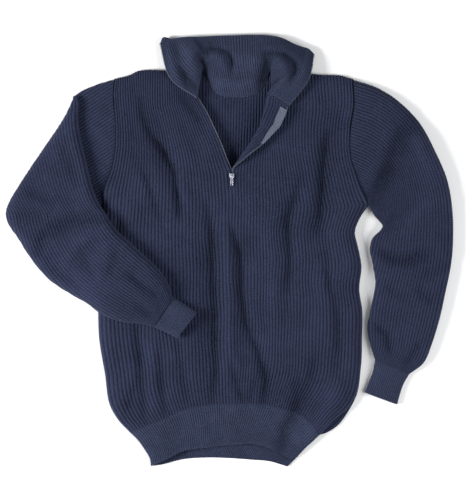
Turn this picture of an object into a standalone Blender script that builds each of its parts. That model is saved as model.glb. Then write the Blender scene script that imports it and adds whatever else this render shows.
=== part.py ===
"""A ribbed half-zip sweater, laid flat on its back with the collar spread open.

The script works in millimetres and gives Blender metres. +Y points to the neck, +Z up,
and the garment rests on z = 0. Left and right are as seen from above.
Each knitted piece is a closed wall: ribs are raised in its outer points over a plain
inside. Tables hold the seams' routes, the sleeves' sections and the folds.
"""

import math
from collections import namedtuple

import bmesh
import bpy
import numpy as np

METRE = 0.001
WALL = 3.0
COLLAR_WALL = 4.0
RIB_HEIGHT = 1.1
SEAM_GAP = 0.45
FLOOR_GAP = 0.3
FRONT_EDGE = WALL + FLOOR_GAP + 0.2
# Room between the folded sleeve and the ribs of what it lies on
BODY_CLEARANCE = 3.2
CAP_CLEARANCE = 0.8
BODY_ROUND = 24.0
SLEEVE_ROUND = 18.0
LEAST_RISE = 0.45
LEAST_HOLLOW = 0.8
FULL_RIB_WIDTH = 90.0
LAPEL_RADIUS = 6.0
MERGE = 2e-6
SIDE_PULL = 4.0
CHEST_PULL = 2.0

RIBS_LEFT = 32
RIBS_RIGHT = 34
RIBS_NECK_RIGHT = 13
RIBS_BAND = 60
RIBS_COLLAR = 50
RIBS_CUFF = 16
RIBS_SLEEVE = 24
RIBS_CAP = 28
RIBS_ARM = 22
SIDE_ROWS = 7
INNER_STEP = 4
ARMHOLE_SPLIT = 0.26
ARMHOLE_ROWS = 6
ZIP_ROWS = 4
SLIDER_SHARE = 0.54
TAPE_ROWS_RIGHT = [2.8, 3.4, 4.0, 5.0, 5.7]
# Columns of the back: each side's, then those of the ribs in the neck opening
SIDE_COLUMNS = 9
NECK_COLUMNS = 48
NECK_START = 0.36
NECK_SPAN = 0.30
# Rib heights of the finer and the flattened ribs, as shares of the body's
BAND_RIB = 0.9
COLLAR_RIB = 0.8
EDGE_RIB = 0.3

Patch = namedtuple("Patch", "outer inner columns rims closed plain_rows")
Section = namedtuple("Section", "outer_x outer_y inner_x inner_y crown")
Fold = namedtuple("Fold", "start_x start_y end_x end_y width depth")
Crown = namedtuple("Crown", "y height")
Station = namedtuple("Station", "share mid_x mid_y mid_z top_x top_y top_z")

# Seams and edges of the body, as (x, y)
WAIST_SEAM = [
    (-179, -327), (-148, -315), (-122, -304), (-86, -288), (-49, -279), (6, -276),
    (62, -278), (98, -286), (127, -297), (148, -313), (161, -333),
]
SIDE_LEFT = [
    (-179, -327), (-199, -306), (-212, -285), (-224, -220), (-234, -159),
    (-236, -89), (-235, -17), (-230, 52), (-228, 82),
]
SIDE_RIGHT = [
    (161, -333), (190, -303), (212, -285), (226, -263), (236, -211), (238, -155),
    (238, -103), (233, -71), (237, -27), (230, 10), (225, 34), (233, 57), (251, 84),
]
BACK_SIDE_RIGHT = [
    (161, -333), (170, -331), (194, -317), (216, -288), (230, -260), (237, -211),
    (238, -155), (238, -103), (233, -71), (237, -27), (230, 10), (225, 34),
    (233, 57), (251, 84),
]
ARMHOLE_LEFT = [
    (-228, 82), (-226, 109), (-212, 151), (-207, 178), (-206, 230), (-210, 284),
    (-208, 309),
]
ARMHOLE_RIGHT = [
    (251, 84), (237, 113), (228, 137), (219, 167), (219, 223), (225, 261), (223, 309),
]
SHOULDER_LEFT = [(-208, 309), (-183, 315), (-165, 323), (-115, 324), (-80, 326), (-48, 331)]
SHOULDER_RIGHT = [(76, 329), (109, 323), (145, 318), (168, 316), (199, 315), (223, 309)]
SLIDER_ROW_LEFT = [(-143, 132), (-71, 136)]
SLIDER_ROW_RIGHT = [(82, 136), (154, 128)]
SLIT_END = (4, 142)
ZIP_EDGE_LEFT = [SLIT_END, (-6, 165), (-15, 189), (-30, 223), (-44, 252), (-58, 275)]
NECK_LEFT = [(-58, 275), (-54, 300), (-48, 331)]
SLIT_RIGHT = [SLIT_END, (10, 189), (17, 223), (21, 259)]
NECK_RIGHT = [(21, 259), (48, 273), (75, 288), (76, 307), (76, 329)]
NECK_BACK = [
    (-48, 331), (-41, 309), (-30, 290), (-14, 280), (6, 278), (30, 279), (48, 284),
    (63, 298), (76, 329),
]

# The line that the right front rolls over, as (y, x)
ROLL_LINE = [
    (142, 4), (160, 22), (174, 31), (189, 42), (206, 52), (223, 62), (243, 68),
    (259, 72), (280, 75), (331, 76),
]

# Edges of the waistband below its seam
BAND_LEFT = [(-179, -327), (-165, -341), (-152, -359), (-142, -378), (-141, -389)]
BAND_RIGHT = [(161, -333), (139, -353), (120, -370), (110, -377)]
BAND_RIGHT_BACK = [(161, -333), (140, -354), (120, -375), (105, -390)]
HEM_FRONT = [
    (-141, -389), (-107, -373), (-86, -362), (-68, -358), (-41, -355), (-12, -351),
    (6, -350), (43, -348), (76, -358), (110, -377),
]
HEM_BACK = [
    (-141, -389), (-126, -387), (-86, -377), (-50, -374), (3, -375), (43, -378),
    (69, -380), (105, -390),
]

# Height of the body's top above the floor, up the middle
BODY_CROWNS = [
    Crown(-390, 13), Crown(-340, 15), Crown(-290, 19), Crown(-200, 21), Crown(0, 20),
    Crown(140, 19), Crown(230, 16), Crown(290, 13), Crown(335, 12),
]

# Soft troughs (depth above 0) and ridges (below 0) in the body and the waistband
BODY_FOLDS = [
    Fold(-152, 268, -125, 190, 18, 3.5),
    Fold(-125, 190, -102, 126, 18, 3.5),
    Fold(-178, 250, -165, 160, 15, 2.0),
    Fold(-70, 215, -45, 130, 15, 2.0),
    Fold(-39, 37, -39, -262, 17, 3.5),
    Fold(24, 40, 26, -262, 15, 3.5),
    Fold(-6, 70, -6, -255, 9, -2.0),
    Fold(190, 239, 154, 30, 18, 4.0),
    Fold(110, 90, 96, -120, 16, 2.5),
    Fold(205, -60, 190, -230, 14, 2.5),
    Fold(-122, -225, -122, -285, 13, 3.5),
    Fold(-32, -215, -30, -268, 12, 2.5),
    Fold(66, -215, 68, -270, 13, 3.0),
    Fold(122, -225, 120, -280, 13, 3.5),
    Fold(122, -290, 90, -362, 12, 4.5),
    Fold(-165, -235, -185, -290, 10, 3.0),
    Fold(-170, -120, -150, -215, 16, 2.5),
]

# Sections of the sleeves, each from its outer edge to its inner edge
RIGHT_SLEEVE = [
    Section(223, 309, 251, 84, 16),
    Section(268, 294, 258, 70, 18),
    Section(308, 268, 264, 61, 20),
    Section(345, 229, 270, 55, 21),
    Section(374, 175, 277, 45, 22),
    Section(394, 126, 272, 36, 23),
    Section(403, 72, 259, 23, 22),
    Section(404, 15, 254, 3, 22),
    Section(400, -28, 259, -24, 22),
    Section(391, -72, 264, -60, 21),
    Section(381, -118, 257, -100, 20),
    Section(368, -162, 250, -138, 19),
    Section(352, -201, 255, -170, 18),
    Section(325, -223, 263, -196, 13),
]
RIGHT_CUFF = [
    Section(325, -223, 263, -196, 11),
    Section(315, -240, 259, -218, 11),
    Section(308, -260, 251, -239, 10),
    Section(303, -278, 244, -256, 10),
]
LEFT_ARM = [
    Section(-284, 268, -271, 265, 7),
    Section(-298, 240, -272, 238, 12),
    Section(-326, 199, -268, 205, 18),
    Section(-352, 161, -258, 163, 21),
    Section(-379, 120, -248, 120, 22),
    Section(-397, 90, -235, 86, 22),
    Section(-404, 68, -222, 67, 21),
    Section(-398, 46, -218, 60, 20),
    Section(-384, 26, -214, 53, 21),
    Section(-360, -12, -208, 45, 22),
    Section(-330, -48, -197, 32, 21),
    Section(-297, -72, -181, 18, 21),
    Section(-260, -93, -161, -1, 20),
    Section(-225, -116, -141, -19, 19),
    Section(-188, -128, -122, -39, 18),
    Section(-158, -131, -110, -59, 16),
    Section(-136, -137, -102, -83, 12),
]
LEFT_CUFF = [
    Section(-136, -137, -102, -83, 10),
    Section(-122, -143, -87, -92, 10),
    Section(-108, -150, -72, -102, 9),
    Section(-94, -157, -58, -111, 9),
]
# The section at the left elbow, where the sleeve doubles back
ELBOW = 6
# Where the folded top of the left sleeve ends, tucked under the arm
TUCK_LINE = [
    (-281, 279), (-285, 239), (-279, 205), (-269, 163), (-260, 120), (-247, 92), (-238, 76),
]
CAP_EDGE = [(-208, 309), (-234, 302), (-255, 294), (-271, 286), (-281, 279)]
CAP_SHARES = [0.0, 0.35, 0.7, 1.0]
CAP_CROWNS = [13.0, 11.0, 9.0, 8.0]
CAP_CORNER_HOLD = 6
# How much of the right armhole's bend the sleeve keeps in its next two sections
ARMHOLE_BENDS = [0.6, 0.25]
# How far around itself the folded sleeve feels what lies below it
SOFT_REACH = 26.0
RING_REACHES = (0.0, 9.0, 18.0, 27.0)

SLEEVE_FOLDS = [
    Fold(330, 239, 300, 165, 15, 5.0),
    Fold(300, 165, 262, 92, 14, 6.0),
    Fold(290, -15, 343, -15, 12, 4.5),
    Fold(395, -20, 350, -45, 12, 3.0),
    Fold(280, -60, 320, -90, 12, 3.0),
    Fold(345, -165, 318, -205, 8, 4.0),
    Fold(285, -130, 290, -185, 8, 3.5),
    Fold(-224, 62, -330, 66, 13, 5.0),
    Fold(-330, 66, -385, 60, 12, 3.0),
    Fold(-300, 190, -270, 130, 12, 3.0),
    Fold(-262, 10, -215, -40, 12, 3.0),
    Fold(-320, -30, -270, -60, 12, 2.5),
    Fold(-165, -95, -140, -118, 8, 3.0),
    Fold(-150, -60, -120, -82, 8, 3.0),
]

# The collar's middle and top edge, by share of its way round the neck from the left
COLLAR = [
    Station(0.00, -106, 311, 18, -125, 374, 9),
    Station(0.05, -98, 325, 22, -119, 385, 8),
    Station(0.10, -84, 340, 26, -105, 382, 8),
    Station(0.15, -68, 352, 27, -88, 384, 9),
    Station(0.20, -55, 355, 27, -73, 385, 9),
    Station(0.26, -43, 350, 25, -58, 385, 9),
    Station(0.32, -30, 344, 26, -42, 386, 9),
    Station(0.38, -14, 341, 25, -24, 387, 8),
    Station(0.44, 6, 339, 22, 2, 388, 7),
    Station(0.50, 30, 339, 21, 28, 389, 7),
    Station(0.56, 50, 341, 22, 50, 389, 8),
    Station(0.62, 65, 348, 24, 68, 388, 9),
    Station(0.68, 80, 353, 26, 84, 386, 10),
    Station(0.74, 93, 349, 29, 99, 381, 11),
    Station(0.80, 104, 339, 31, 113, 374, 11),
    Station(0.87, 116, 330, 30, 128, 368, 11),
    Station(0.94, 129, 318, 27, 142, 364, 10),
    Station(1.00, 141, 308, 22, 152, 355, 9),
]
# Level direction square to the collar's seam on the turned-over front
LAPEL_ACROSS = np.array([[0.53, 0.848, 0.0]])
COLLAR_BACK_START = 0.165
COLLAR_BACK_END = 0.68
COLLAR_CLEARANCE = 0.4
COLLAR_HOLD = 0.5
COLLAR_FOLDS = [
    Fold(-92, 343, -76, 306, 12, 3.5),
    Fold(-76, 306, -62, 292, 12, 2.5),
    Fold(-70, 350, -60, 322, 13, -3.0),
    Fold(-42, 338, -46, 312, 10, 3.0),
    Fold(-30, 352, -6, 355, 10, -4.0),
    Fold(-2, 353, 7, 335, 10, 3.5),
    Fold(-28, 305, 52, 305, 14, -6.0),
    Fold(62, 350, 74, 352, 14, -2.0),
    Fold(84, 352, 118, 346, 11, 3.5),
    Fold(118, 346, 120, 318, 11, 3.0),
    Fold(70, 326, 56, 300, 12, 3.0),
    Fold(14, 320, 14, 345, 10, 2.0),
]

# Height of the collar's seam over the middle of a front's neck edge below it
OVER_EDGE = WALL / 2 + RIB_HEIGHT + FLOOR_GAP + COLLAR_WALL / 2

TAPE_WIDTH = 12.0
TAPE_THICKNESS = 0.9
TAPE_LIFT = 0.6
TAPE_LIFT_LEFT = 0.75
TAPE_START_LEFT = 0.1
TAPE_END_LEFT = 0.97
TAPE_PROUD = 2.5

SLIDER_LENGTH = 9.0
SLIDER_WIDTH = 8.8
SLIDER_HEIGHT = 2.6
SLIDER_Y = 135.0
SLIDER_TAPER = 0.62
SLIDER_CORNER = 1.2
SLIDER_RIM = 0.5
BRIDGE_WIDTH = 1.8
BRIDGE_REACH = 3.0
BRIDGE_RISE = 2.4
BRIDGE_THICK = 1.1
BRIDGE_SINK = 0.4
BRIDGE_CHAMFER = (0.5, 0.3)
PIN_RADIUS = 0.6
PIN_RISE = 1.45
PULL_ARM_GAP = 0.45
PULL_ARM = 1.0
PULL_THICK = 0.9
PULL_WIDTH = 5.0
PULL_START = 5.0
PULL_LENGTH = 19.0
PULL_EYE = 1.1
PULL_LUG = 0.9
PULL_SHOULDER = 1.5
PULL_NARROWING = 0.92
PULL_TIP = 2.2
PULL_EYE_PLACE = 2.6
PIN_OVER = 0.4
PULL_TILT = math.radians(7)


def even(count):
    return np.linspace(0.0, 1.0, count + 1)


def along(points, shares, knots=None):
    """Points of a smooth line through a table's points, at shares of its length."""
    points = np.array(points, float)
    if knots is None:
        knots = shares_of(points)
    slopes = np.gradient(points, knots, axis=0)
    at = np.clip(shares, 0, 1)
    k = np.clip(np.searchsorted(knots, at, side="right") - 1, 0, len(points) - 2)
    span = (knots[k + 1] - knots[k])[:, None]
    t = (at - knots[k])[:, None] / span
    start = points[k] * (1 + 2 * t) * (1 - t) ** 2 + slopes[k] * span * t * (1 - t) ** 2
    end = points[k + 1] * t * t * (3 - 2 * t) + slopes[k + 1] * span * t * t * (t - 1)
    return start + end


def on_polyline(points, shares):
    """Points at shares of a polyline's length, on its straight runs."""
    knots = shares_of(points)
    return np.stack([np.interp(shares, knots, points[:, k]) for k in range(2)], 1)


def shares_of(points):
    lengths = np.linalg.norm(np.diff(points, axis=0), axis=1)
    return np.concatenate([[0.0], np.cumsum(lengths)]) / lengths.sum()


def offset(points, distance):
    """A plan line moved to its left by a distance."""
    run = np.gradient(np.asarray(points, float), axis=0)
    run /= np.linalg.norm(run, axis=1)[:, None]
    return points + distance * np.stack([-run[:, 1], run[:, 0]], 1)


def distance_to(points, line):
    """Distance in plan from each point to a polyline."""
    start, run = line[:-1], np.diff(line, axis=0)
    away = points[:, None, :] - start[None, :, :]
    share = np.einsum("pls,ls->pl", away, run) / (run**2).sum(1)
    away -= np.clip(share, 0, 1)[..., None] * run[None, :, :]
    return np.sqrt((away**2).sum(2)).min(1)


def inside(points, outline):
    """True for each point within a closed outline."""
    a, b = outline, np.roll(outline, -1, axis=0)
    x, y = points[:, 0, None], points[:, 1, None]
    spans = (a[:, 1] > y) != (b[:, 1] > y)
    rise = np.where(np.abs(b[:, 1] - a[:, 1]) < 1e-9, 1e-9, b[:, 1] - a[:, 1])
    crossing = a[:, 0] + (y - a[:, 1]) * (b[:, 0] - a[:, 0]) / rise
    return (spans & (x < crossing)).sum(1) % 2 == 1


def rounded(share):
    """Rises from 0 to 1 as a quarter circle."""
    share = np.clip(share, 0, 1)
    return np.sqrt(1 - (1 - share) ** 2)


def fold_depth(points, folds):
    total = np.zeros(len(points))
    for fold in folds:
        line = np.array([(fold.start_x, fold.start_y), (fold.end_x, fold.end_y)], float)
        total += fold.depth * np.exp(-((distance_to(points, line) / fold.width) ** 2))
    return total


def coons(bottom, top, left, right, u, v, pull=1.0):
    """A grid of plan points between four edges. A pull above 1 keeps the sides' bends
    close to them."""
    u, v = u[None, :, None], v[:, None, None]
    across = (1 - v) * bottom[None] + v * top[None]
    from_left = left[:, None] - (1 - v) * bottom[0] - v * top[0]
    from_right = right[:, None] - (1 - v) * bottom[-1] - v * top[-1]
    return across + (1 - u) ** pull * from_left + u**pull * from_right


def lift(plan, heights):
    return np.concatenate([plan, heights[..., None]], -1)


def normals(grid):
    n = np.cross(np.gradient(grid, axis=1), np.gradient(grid, axis=0))
    return n / np.linalg.norm(n, axis=2)[..., None]


def keep_level(direction):
    """Turns directions level, for a rim that rests flat."""
    direction = direction * np.array([1.0, 1.0, 0.0])
    return direction / np.linalg.norm(direction, axis=-1)[..., None]


def seam_across(line):
    """Level directions square to a seam's route."""
    run = np.gradient(line[:, :2], axis=0)
    run /= np.linalg.norm(run, axis=1)[:, None]
    return np.stack([-run[:, 1], run[:, 0], np.zeros(len(run))], 1)


def keep_in_seam(direction, across):
    """Turns directions into the upright plane of a seam."""
    direction = direction - (direction * across).sum(1)[:, None] * across
    return direction / np.linalg.norm(direction, axis=1)[:, None]


def ribs(count):
    """Rib heights for two columns to a rib: trough, crest, trough and so on."""
    return np.where(np.arange(count) % 2 == 1, RIB_HEIGHT, 0.0)


def every(step, count):
    return sorted(set(range(0, count, step)) | {count - 1})


def zip_faces(fine, coarse, columns):
    """Triangles between a row of all columns and a row of the listed ones."""
    faces = []
    for a, b in zip(columns[:-1], columns[1:]):
        middle = (a + b) // 2
        faces += [(fine[c], fine[c + 1], coarse[a]) for c in range(a, middle)]
        faces.append((coarse[a], fine[middle], coarse[b]))
        faces += [(fine[c], fine[c + 1], coarse[b]) for c in range(middle, b)]
    return faces


def patch_faces(patch, start):
    """Faces of one patch, whose outer points come first, then its inner ones."""
    rows, count = patch.outer.shape[:2]
    outer = start + np.arange(rows * count).reshape(rows, count)
    inner = outer + rows * count
    columns = list(patch.columns)
    if patch.closed:
        outer = np.concatenate([outer, outer[:, :1]], 1)
        inner = np.concatenate([inner, inner[:, :1]], 1)
        columns.append(count)
    faces = []
    for j in range(rows - 1):
        if j + 1 < patch.plain_rows:
            pairs = zip(columns[:-1], columns[1:])
            faces += [(outer[j, a], outer[j, b], outer[j + 1, b], outer[j + 1, a]) for a, b in pairs]
        elif j < patch.plain_rows:
            faces += zip_faces(outer[j + 1], outer[j], columns)
        else:
            fine = range(outer.shape[1] - 1)
            faces += [
                (outer[j, c], outer[j, c + 1], outer[j + 1, c + 1], outer[j + 1, c])
                for c in fine
            ]
        for a, b in zip(columns[:-1], columns[1:]):
            faces.append((inner[j, b], inner[j, a], inner[j + 1, a], inner[j + 1, b]))
        for side, name in ((0, "left"), (-1, "right")):
            if name in patch.rims:
                faces.append(
                    (outer[j, side], outer[j + 1, side], inner[j + 1, side], inner[j, side])
                )
    if "bottom" in patch.rims and patch.plain_rows > 0:
        for a, b in zip(columns[:-1], columns[1:]):
            faces.append((outer[0, a], outer[0, b], inner[0, b], inner[0, a]))
    elif "bottom" in patch.rims:
        faces += zip_faces(outer[0], inner[0], columns)
    if "top" in patch.rims:
        faces += zip_faces(outer[-1], inner[-1], columns)
    return faces


def add_wall(name, patches, material):
    """One closed solid from patches that share their joining points."""
    points, faces = [], []
    for patch in patches:
        start = sum(len(p) for p in points)
        faces += patch_faces(patch, start)
        points += [patch.outer.reshape(-1, 3), patch.inner.reshape(-1, 3)]
    mesh = bpy.data.meshes.new(name)
    corners = np.concatenate(points) * METRE
    mesh.from_pydata(corners.tolist(), [], [tuple(int(k) for k in f) for f in faces])
    work = bmesh.new()
    work.from_mesh(mesh)
    loose = [v for v in work.verts if not v.link_faces]
    bmesh.ops.delete(work, geom=loose, context="VERTS")
    bmesh.ops.remove_doubles(work, verts=work.verts, dist=MERGE)
    bmesh.ops.triangulate(work, faces=work.faces)
    bmesh.ops.recalc_face_normals(work, faces=work.faces)
    work.to_mesh(mesh)
    work.free()
    mesh.shade_smooth()
    mesh.set_sharp_from_angle(angle=math.radians(50))
    mesh.materials.append(material)
    thing = bpy.data.objects.new(name, mesh)
    bpy.context.scene.collection.objects.link(thing)
    return thing


def new_material(name, colour, roughness, metallic=0.0):
    material = bpy.data.materials.new(name)
    material.use_nodes = True
    shader = material.node_tree.nodes["Principled BSDF"]
    shader.inputs["Base Color"].default_value = (*colour, 1.0)
    shader.inputs["Roughness"].default_value = roughness
    shader.inputs["Metallic"].default_value = metallic
    return material


# Lines that several pieces share
ARMHOLE_SHARES = np.concatenate(
    [[0.0], ARMHOLE_SPLIT + (1 - ARMHOLE_SPLIT) * even(ARMHOLE_ROWS)]
)
ARM_LEFT = along(ARMHOLE_LEFT, ARMHOLE_SHARES)
ARM_RIGHT = along(ARMHOLE_RIGHT, ARMHOLE_SHARES)
SIDE_LINE_LEFT = along(SIDE_LEFT, even(40))
SIDE_LINE_RIGHT = along(SIDE_RIGHT, even(40))
SHOULDER_LINE_LEFT = along(SHOULDER_LEFT, even(20))
SHOULDER_LINE_RIGHT = along(SHOULDER_RIGHT, even(20))
BAND_LINE_LEFT = along(BAND_LEFT, even(10))
BAND_LINE_RIGHT = along(BAND_RIGHT, even(10))
ROLL = np.array(ROLL_LINE, float)
FRONT_OUTLINE = np.concatenate(
    [
        along(WAIST_SEAM, even(30))[:-1],
        SIDE_LINE_RIGHT[:-1],
        ARM_RIGHT[:-1],
        SHOULDER_LINE_RIGHT[::-1][:-1],
        ROLL[::-1, ::-1],
        along(ZIP_EDGE_LEFT, even(12)),
        along(NECK_LEFT, even(4)),
        SHOULDER_LINE_LEFT[::-1],
        ARM_LEFT[::-1],
        SIDE_LINE_LEFT[::-1],
    ]
)


def body_height(points):
    """Height of the front's plain top over the floor."""
    crowns = np.array(BODY_CROWNS, float)
    crown = np.interp(points[:, 1], crowns[:, 0], crowns[:, 1])
    edges = [
        SIDE_LINE_LEFT, SIDE_LINE_RIGHT, SHOULDER_LINE_LEFT, SHOULDER_LINE_RIGHT,
        BAND_LINE_LEFT, BAND_LINE_RIGHT,
    ]
    away = np.min([distance_to(points, edge) for edge in edges], axis=0)
    low = FRONT_EDGE + WALL / 2
    puff = rounded(away / BODY_ROUND)
    return low + (crown - low) * puff - fold_depth(points, BODY_FOLDS) * puff


def body_grid(plan):
    """The front's middle surface over a grid of plan points."""
    top = body_height(plan.reshape(-1, 2)).reshape(plan.shape[:2])
    return lift(plan, top - WALL / 2)


def rolled(plan):
    """The right front's middle surface, with what lies past the roll turned over."""
    line = np.interp(plan[..., 1], ROLL[:, 0], ROLL[:, 1])
    past = np.clip(line - plan[..., 0], 0, None)
    turn = np.clip(past / LAPEL_RADIUS, 0, math.pi)
    x = np.where(past > 0, line - LAPEL_RADIUS * np.sin(turn), plan[..., 0])
    x += np.clip(past - math.pi * LAPEL_RADIUS, 0, None)
    grid = body_grid(np.stack([x, plan[..., 1]], -1))
    grid[..., 2] += LAPEL_RADIUS * (1 - np.cos(turn))
    return grid


def walls(grid, direction, thickness, rib):
    """Outer points with ribs and plain inner points, each side of a middle surface."""
    outer = grid + direction * (thickness / 2 + rib)[None, :, None]
    inner = grid - direction * thickness / 2
    return outer, inner


def row_places(left, right):
    lengths = np.linalg.norm(np.diff(left, axis=0), axis=1)
    lengths = lengths + np.linalg.norm(np.diff(right, axis=0), axis=1)
    return np.concatenate([[0.0], np.cumsum(lengths)]) / lengths.sum()


def front_patches():
    """The front: one patch below the zip and one each side of it."""
    left_count, right_count = 2 * RIBS_LEFT, 2 * RIBS_RIGHT
    total = left_count + right_count + 1
    u_left, u_right = 0.5 * even(left_count), 0.5 + 0.5 * even(right_count)
    u = np.concatenate([u_left, u_right[1:]])
    seam = along(WAIST_SEAM, np.interp(u, [0, 0.5, 1], [0, SLIDER_SHARE, 1]))
    row_left = along([ARM_LEFT[1], *SLIDER_ROW_LEFT, SLIT_END], even(left_count))
    row_right = along([SLIT_END, *SLIDER_ROW_RIGHT, ARM_RIGHT[1]], even(right_count))
    row = np.concatenate([row_left, row_right[1:]])
    left = np.concatenate([along(SIDE_LEFT, even(SIDE_ROWS)), ARM_LEFT[1:2]])
    right = np.concatenate([along(SIDE_RIGHT, even(SIDE_ROWS)), ARM_RIGHT[1:2]])
    plan = coons(seam, row, left, right, u, row_places(left, right), SIDE_PULL)
    grid = body_grid(plan)
    direction = normals(grid)
    for side in (0, -1):
        across = seam_across(grid[SIDE_ROWS:, side])
        direction[SIDE_ROWS:, side] = keep_in_seam(direction[SIDE_ROWS:, side], across)
        direction[: SIDE_ROWS + 1, side] = keep_level(direction[: SIDE_ROWS + 1, side])
    direction[0] = keep_in_seam(direction[0], seam_across(grid[0]))
    rib = ribs(total)
    lower = walls(grid, direction, WALL, rib)

    zip_edge = along(ZIP_EDGE_LEFT, even(ZIP_ROWS))
    neck = along(NECK_LEFT, even(ARMHOLE_ROWS - ZIP_ROWS))
    plan = coons(
        row_left, along(SHOULDER_LEFT, even(left_count)), ARM_LEFT[1:],
        np.concatenate([zip_edge, neck[1:]]), even(left_count), even(ARMHOLE_ROWS),
        CHEST_PULL,
    )
    grid_left = body_grid(plan)
    direction_left = normals(grid_left)
    across = seam_across(grid_left[:, 0])
    direction_left[:, 0] = keep_in_seam(direction_left[:, 0], across)
    direction_left[-1] = keep_level(direction_left[-1])
    direction_left[-1, [0, -1]] = (0, 1, 0)
    upper_left = walls(grid_left, direction_left, WALL, rib[: left_count + 1])

    slit = along(SLIT_RIGHT, even(ARMHOLE_ROWS))
    neck_count = 2 * RIBS_NECK_RIGHT
    neck_right = along(NECK_RIGHT, even(neck_count))
    shoulder = along(SHOULDER_RIGHT, even(right_count - neck_count))
    top = np.concatenate([neck_right, shoulder[1:]])
    plan = coons(
        row_right, top, slit, ARM_RIGHT[1:], even(right_count), even(ARMHOLE_ROWS)
    )
    grid_right = rolled(plan)
    direction_right = normals(grid_right)
    across = seam_across(grid_right[:, -1])
    direction_right[:, -1] = keep_in_seam(direction_right[:, -1], across)
    on_neck = slice(0, neck_count + 1)
    direction_right[-1, on_neck] = keep_in_seam(direction_right[-1, on_neck], LAPEL_ACROSS)
    shoulder_part = slice(neck_count + 1, None)
    direction_right[-1, shoulder_part] = keep_level(direction_right[-1, shoulder_part])
    direction_right[-1, -1] = (0, 1, 0)
    upper_right = walls(grid_right, direction_right, WALL, rib[left_count:])

    on_left, on_right = slice(0, left_count + 1), slice(left_count, None)
    for new, part in ((upper_left, on_left), (upper_right, on_right)):
        new[0][0] = lower[0][-1, part]
        new[1][0] = lower[1][-1, part]
    fine_left = every(INNER_STEP, left_count + 1)
    fine_right = sorted(set(range(0, neck_count, 2)) | set(every(INNER_STEP, right_count + 1)))
    shared = fine_left + [left_count + k for k in fine_right[1:]]
    return [
        Patch(*lower, shared, {"left", "right", "bottom"}, False, 0),
        Patch(*upper_left, fine_left, {"left", "right", "top"}, False, 0),
        Patch(*upper_right, fine_right, {"left", "right", "top"}, False, 0),
    ]


def between_rows(points, rows):
    """Points of a wall's face at places between its rows."""
    low = np.minimum(np.array(rows).astype(int), len(points) - 2)
    share = (np.array(rows) - low)[:, None, None]
    return points[low] * (1 - share) + points[low + 1] * share


def tape_right_patch(patch):
    """The tape on the turned-over front's inner face, from just past the zip edge."""
    order = list(patch.columns)[:4]
    face = between_rows(patch.inner, TAPE_ROWS_RIGHT)[:, order]
    back = between_rows(patch.outer, TAPE_ROWS_RIGHT)[:, 0]
    steps = np.linalg.norm(np.diff(face, axis=1), axis=2)
    grid = []
    for line, lengths in zip(face, steps):
        knots = np.concatenate([[0.0], np.cumsum(lengths)])
        bend = lengths[0] if lengths[0] < 0.8 * TAPE_WIDTH else 0.5 * TAPE_WIDTH
        places = [0.0, bend, TAPE_WIDTH]
        held = [[np.interp(d, knots, line[:, k]) for k in range(3)] for d in places]
        past = line[0] - (line[1] - line[0]) / lengths[0] * TAPE_PROUD
        grid.append([past, *held])
    out = face[:, 0] - back
    out /= np.linalg.norm(out, axis=1)[:, None]
    near_face = np.array(grid) + out[:, None] * TAPE_LIFT
    far_face = near_face + out[:, None] * TAPE_THICKNESS
    return Patch(near_face, far_face, range(4), {"left", "right", "top", "bottom"}, False, 0)


def tape_left_patch():
    """The tape under the left front's zip edge, from just past it."""
    edge = along(ZIP_EDGE_LEFT, np.linspace(TAPE_START_LEFT, TAPE_END_LEFT, 7))
    reaches = (TAPE_WIDTH, TAPE_WIDTH / 2, 0.0, -TAPE_PROUD)
    plan = np.stack([offset(edge, reach) for reach in reaches], 1)
    height = body_height(plan.reshape(-1, 2)).reshape(plan.shape[:2])
    top = height - WALL - TAPE_LIFT_LEFT
    rims = {"left", "right", "top", "bottom"}
    return Patch(lift(plan, top), lift(plan, top - TAPE_THICKNESS), range(4), rims, False, 0)


def back_patch():
    """The back lies flat. Its inside shows ribs in the neck opening."""
    left = np.concatenate([along(SIDE_LEFT, even(SIDE_ROWS)), ARM_LEFT[1:]])
    right = np.concatenate([along(BACK_SIDE_RIGHT, even(SIDE_ROWS)), ARM_RIGHT[1:]])
    shares = np.concatenate(
        [
            NECK_START * even(SIDE_COLUMNS)[:-1],
            NECK_START + NECK_SPAN * even(NECK_COLUMNS),
            1 - (1 - NECK_START - NECK_SPAN) * even(SIDE_COLUMNS)[-2::-1],
        ]
    )
    fine = along(NECK_BACK, even(200))
    across = fine[0, 0] + (fine[-1, 0] - fine[0, 0]) * even(NECK_COLUMNS)
    neck = along(NECK_BACK, np.interp(across, fine[:, 0], even(200)))
    top = np.concatenate(
        [
            along(SHOULDER_LEFT, even(SIDE_COLUMNS)),
            neck[1:],
            along(SHOULDER_RIGHT, even(SIDE_COLUMNS))[1:],
        ]
    )
    seam = offset(along(WAIST_SEAM, shares), 0.1)
    left[0], right[0] = seam[0], seam[-1]
    plan = coons(seam, top, left, right, shares, row_places(left, right), SIDE_PULL)
    flat = np.zeros(plan.shape[:2])
    rib = np.zeros(plan.shape[1])
    rib[SIDE_COLUMNS : SIDE_COLUMNS + NECK_COLUMNS + 1] = ribs(NECK_COLUMNS + 1)
    plain_rows = SIDE_ROWS + 1
    raised = np.where(np.arange(len(plan)) > plain_rows, 1.0, 0.0)[:, None] * rib[None]
    raised[-1] *= EDGE_RIB
    columns = list(range(SIDE_COLUMNS))
    columns += list(range(SIDE_COLUMNS, SIDE_COLUMNS + NECK_COLUMNS, 3))
    columns += list(range(SIDE_COLUMNS + NECK_COLUMNS, len(rib)))
    rims = {"left", "right", "top", "bottom"}
    return Patch(lift(plan, flat + WALL + raised), lift(plan, flat), columns, rims, False, plain_rows)


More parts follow.
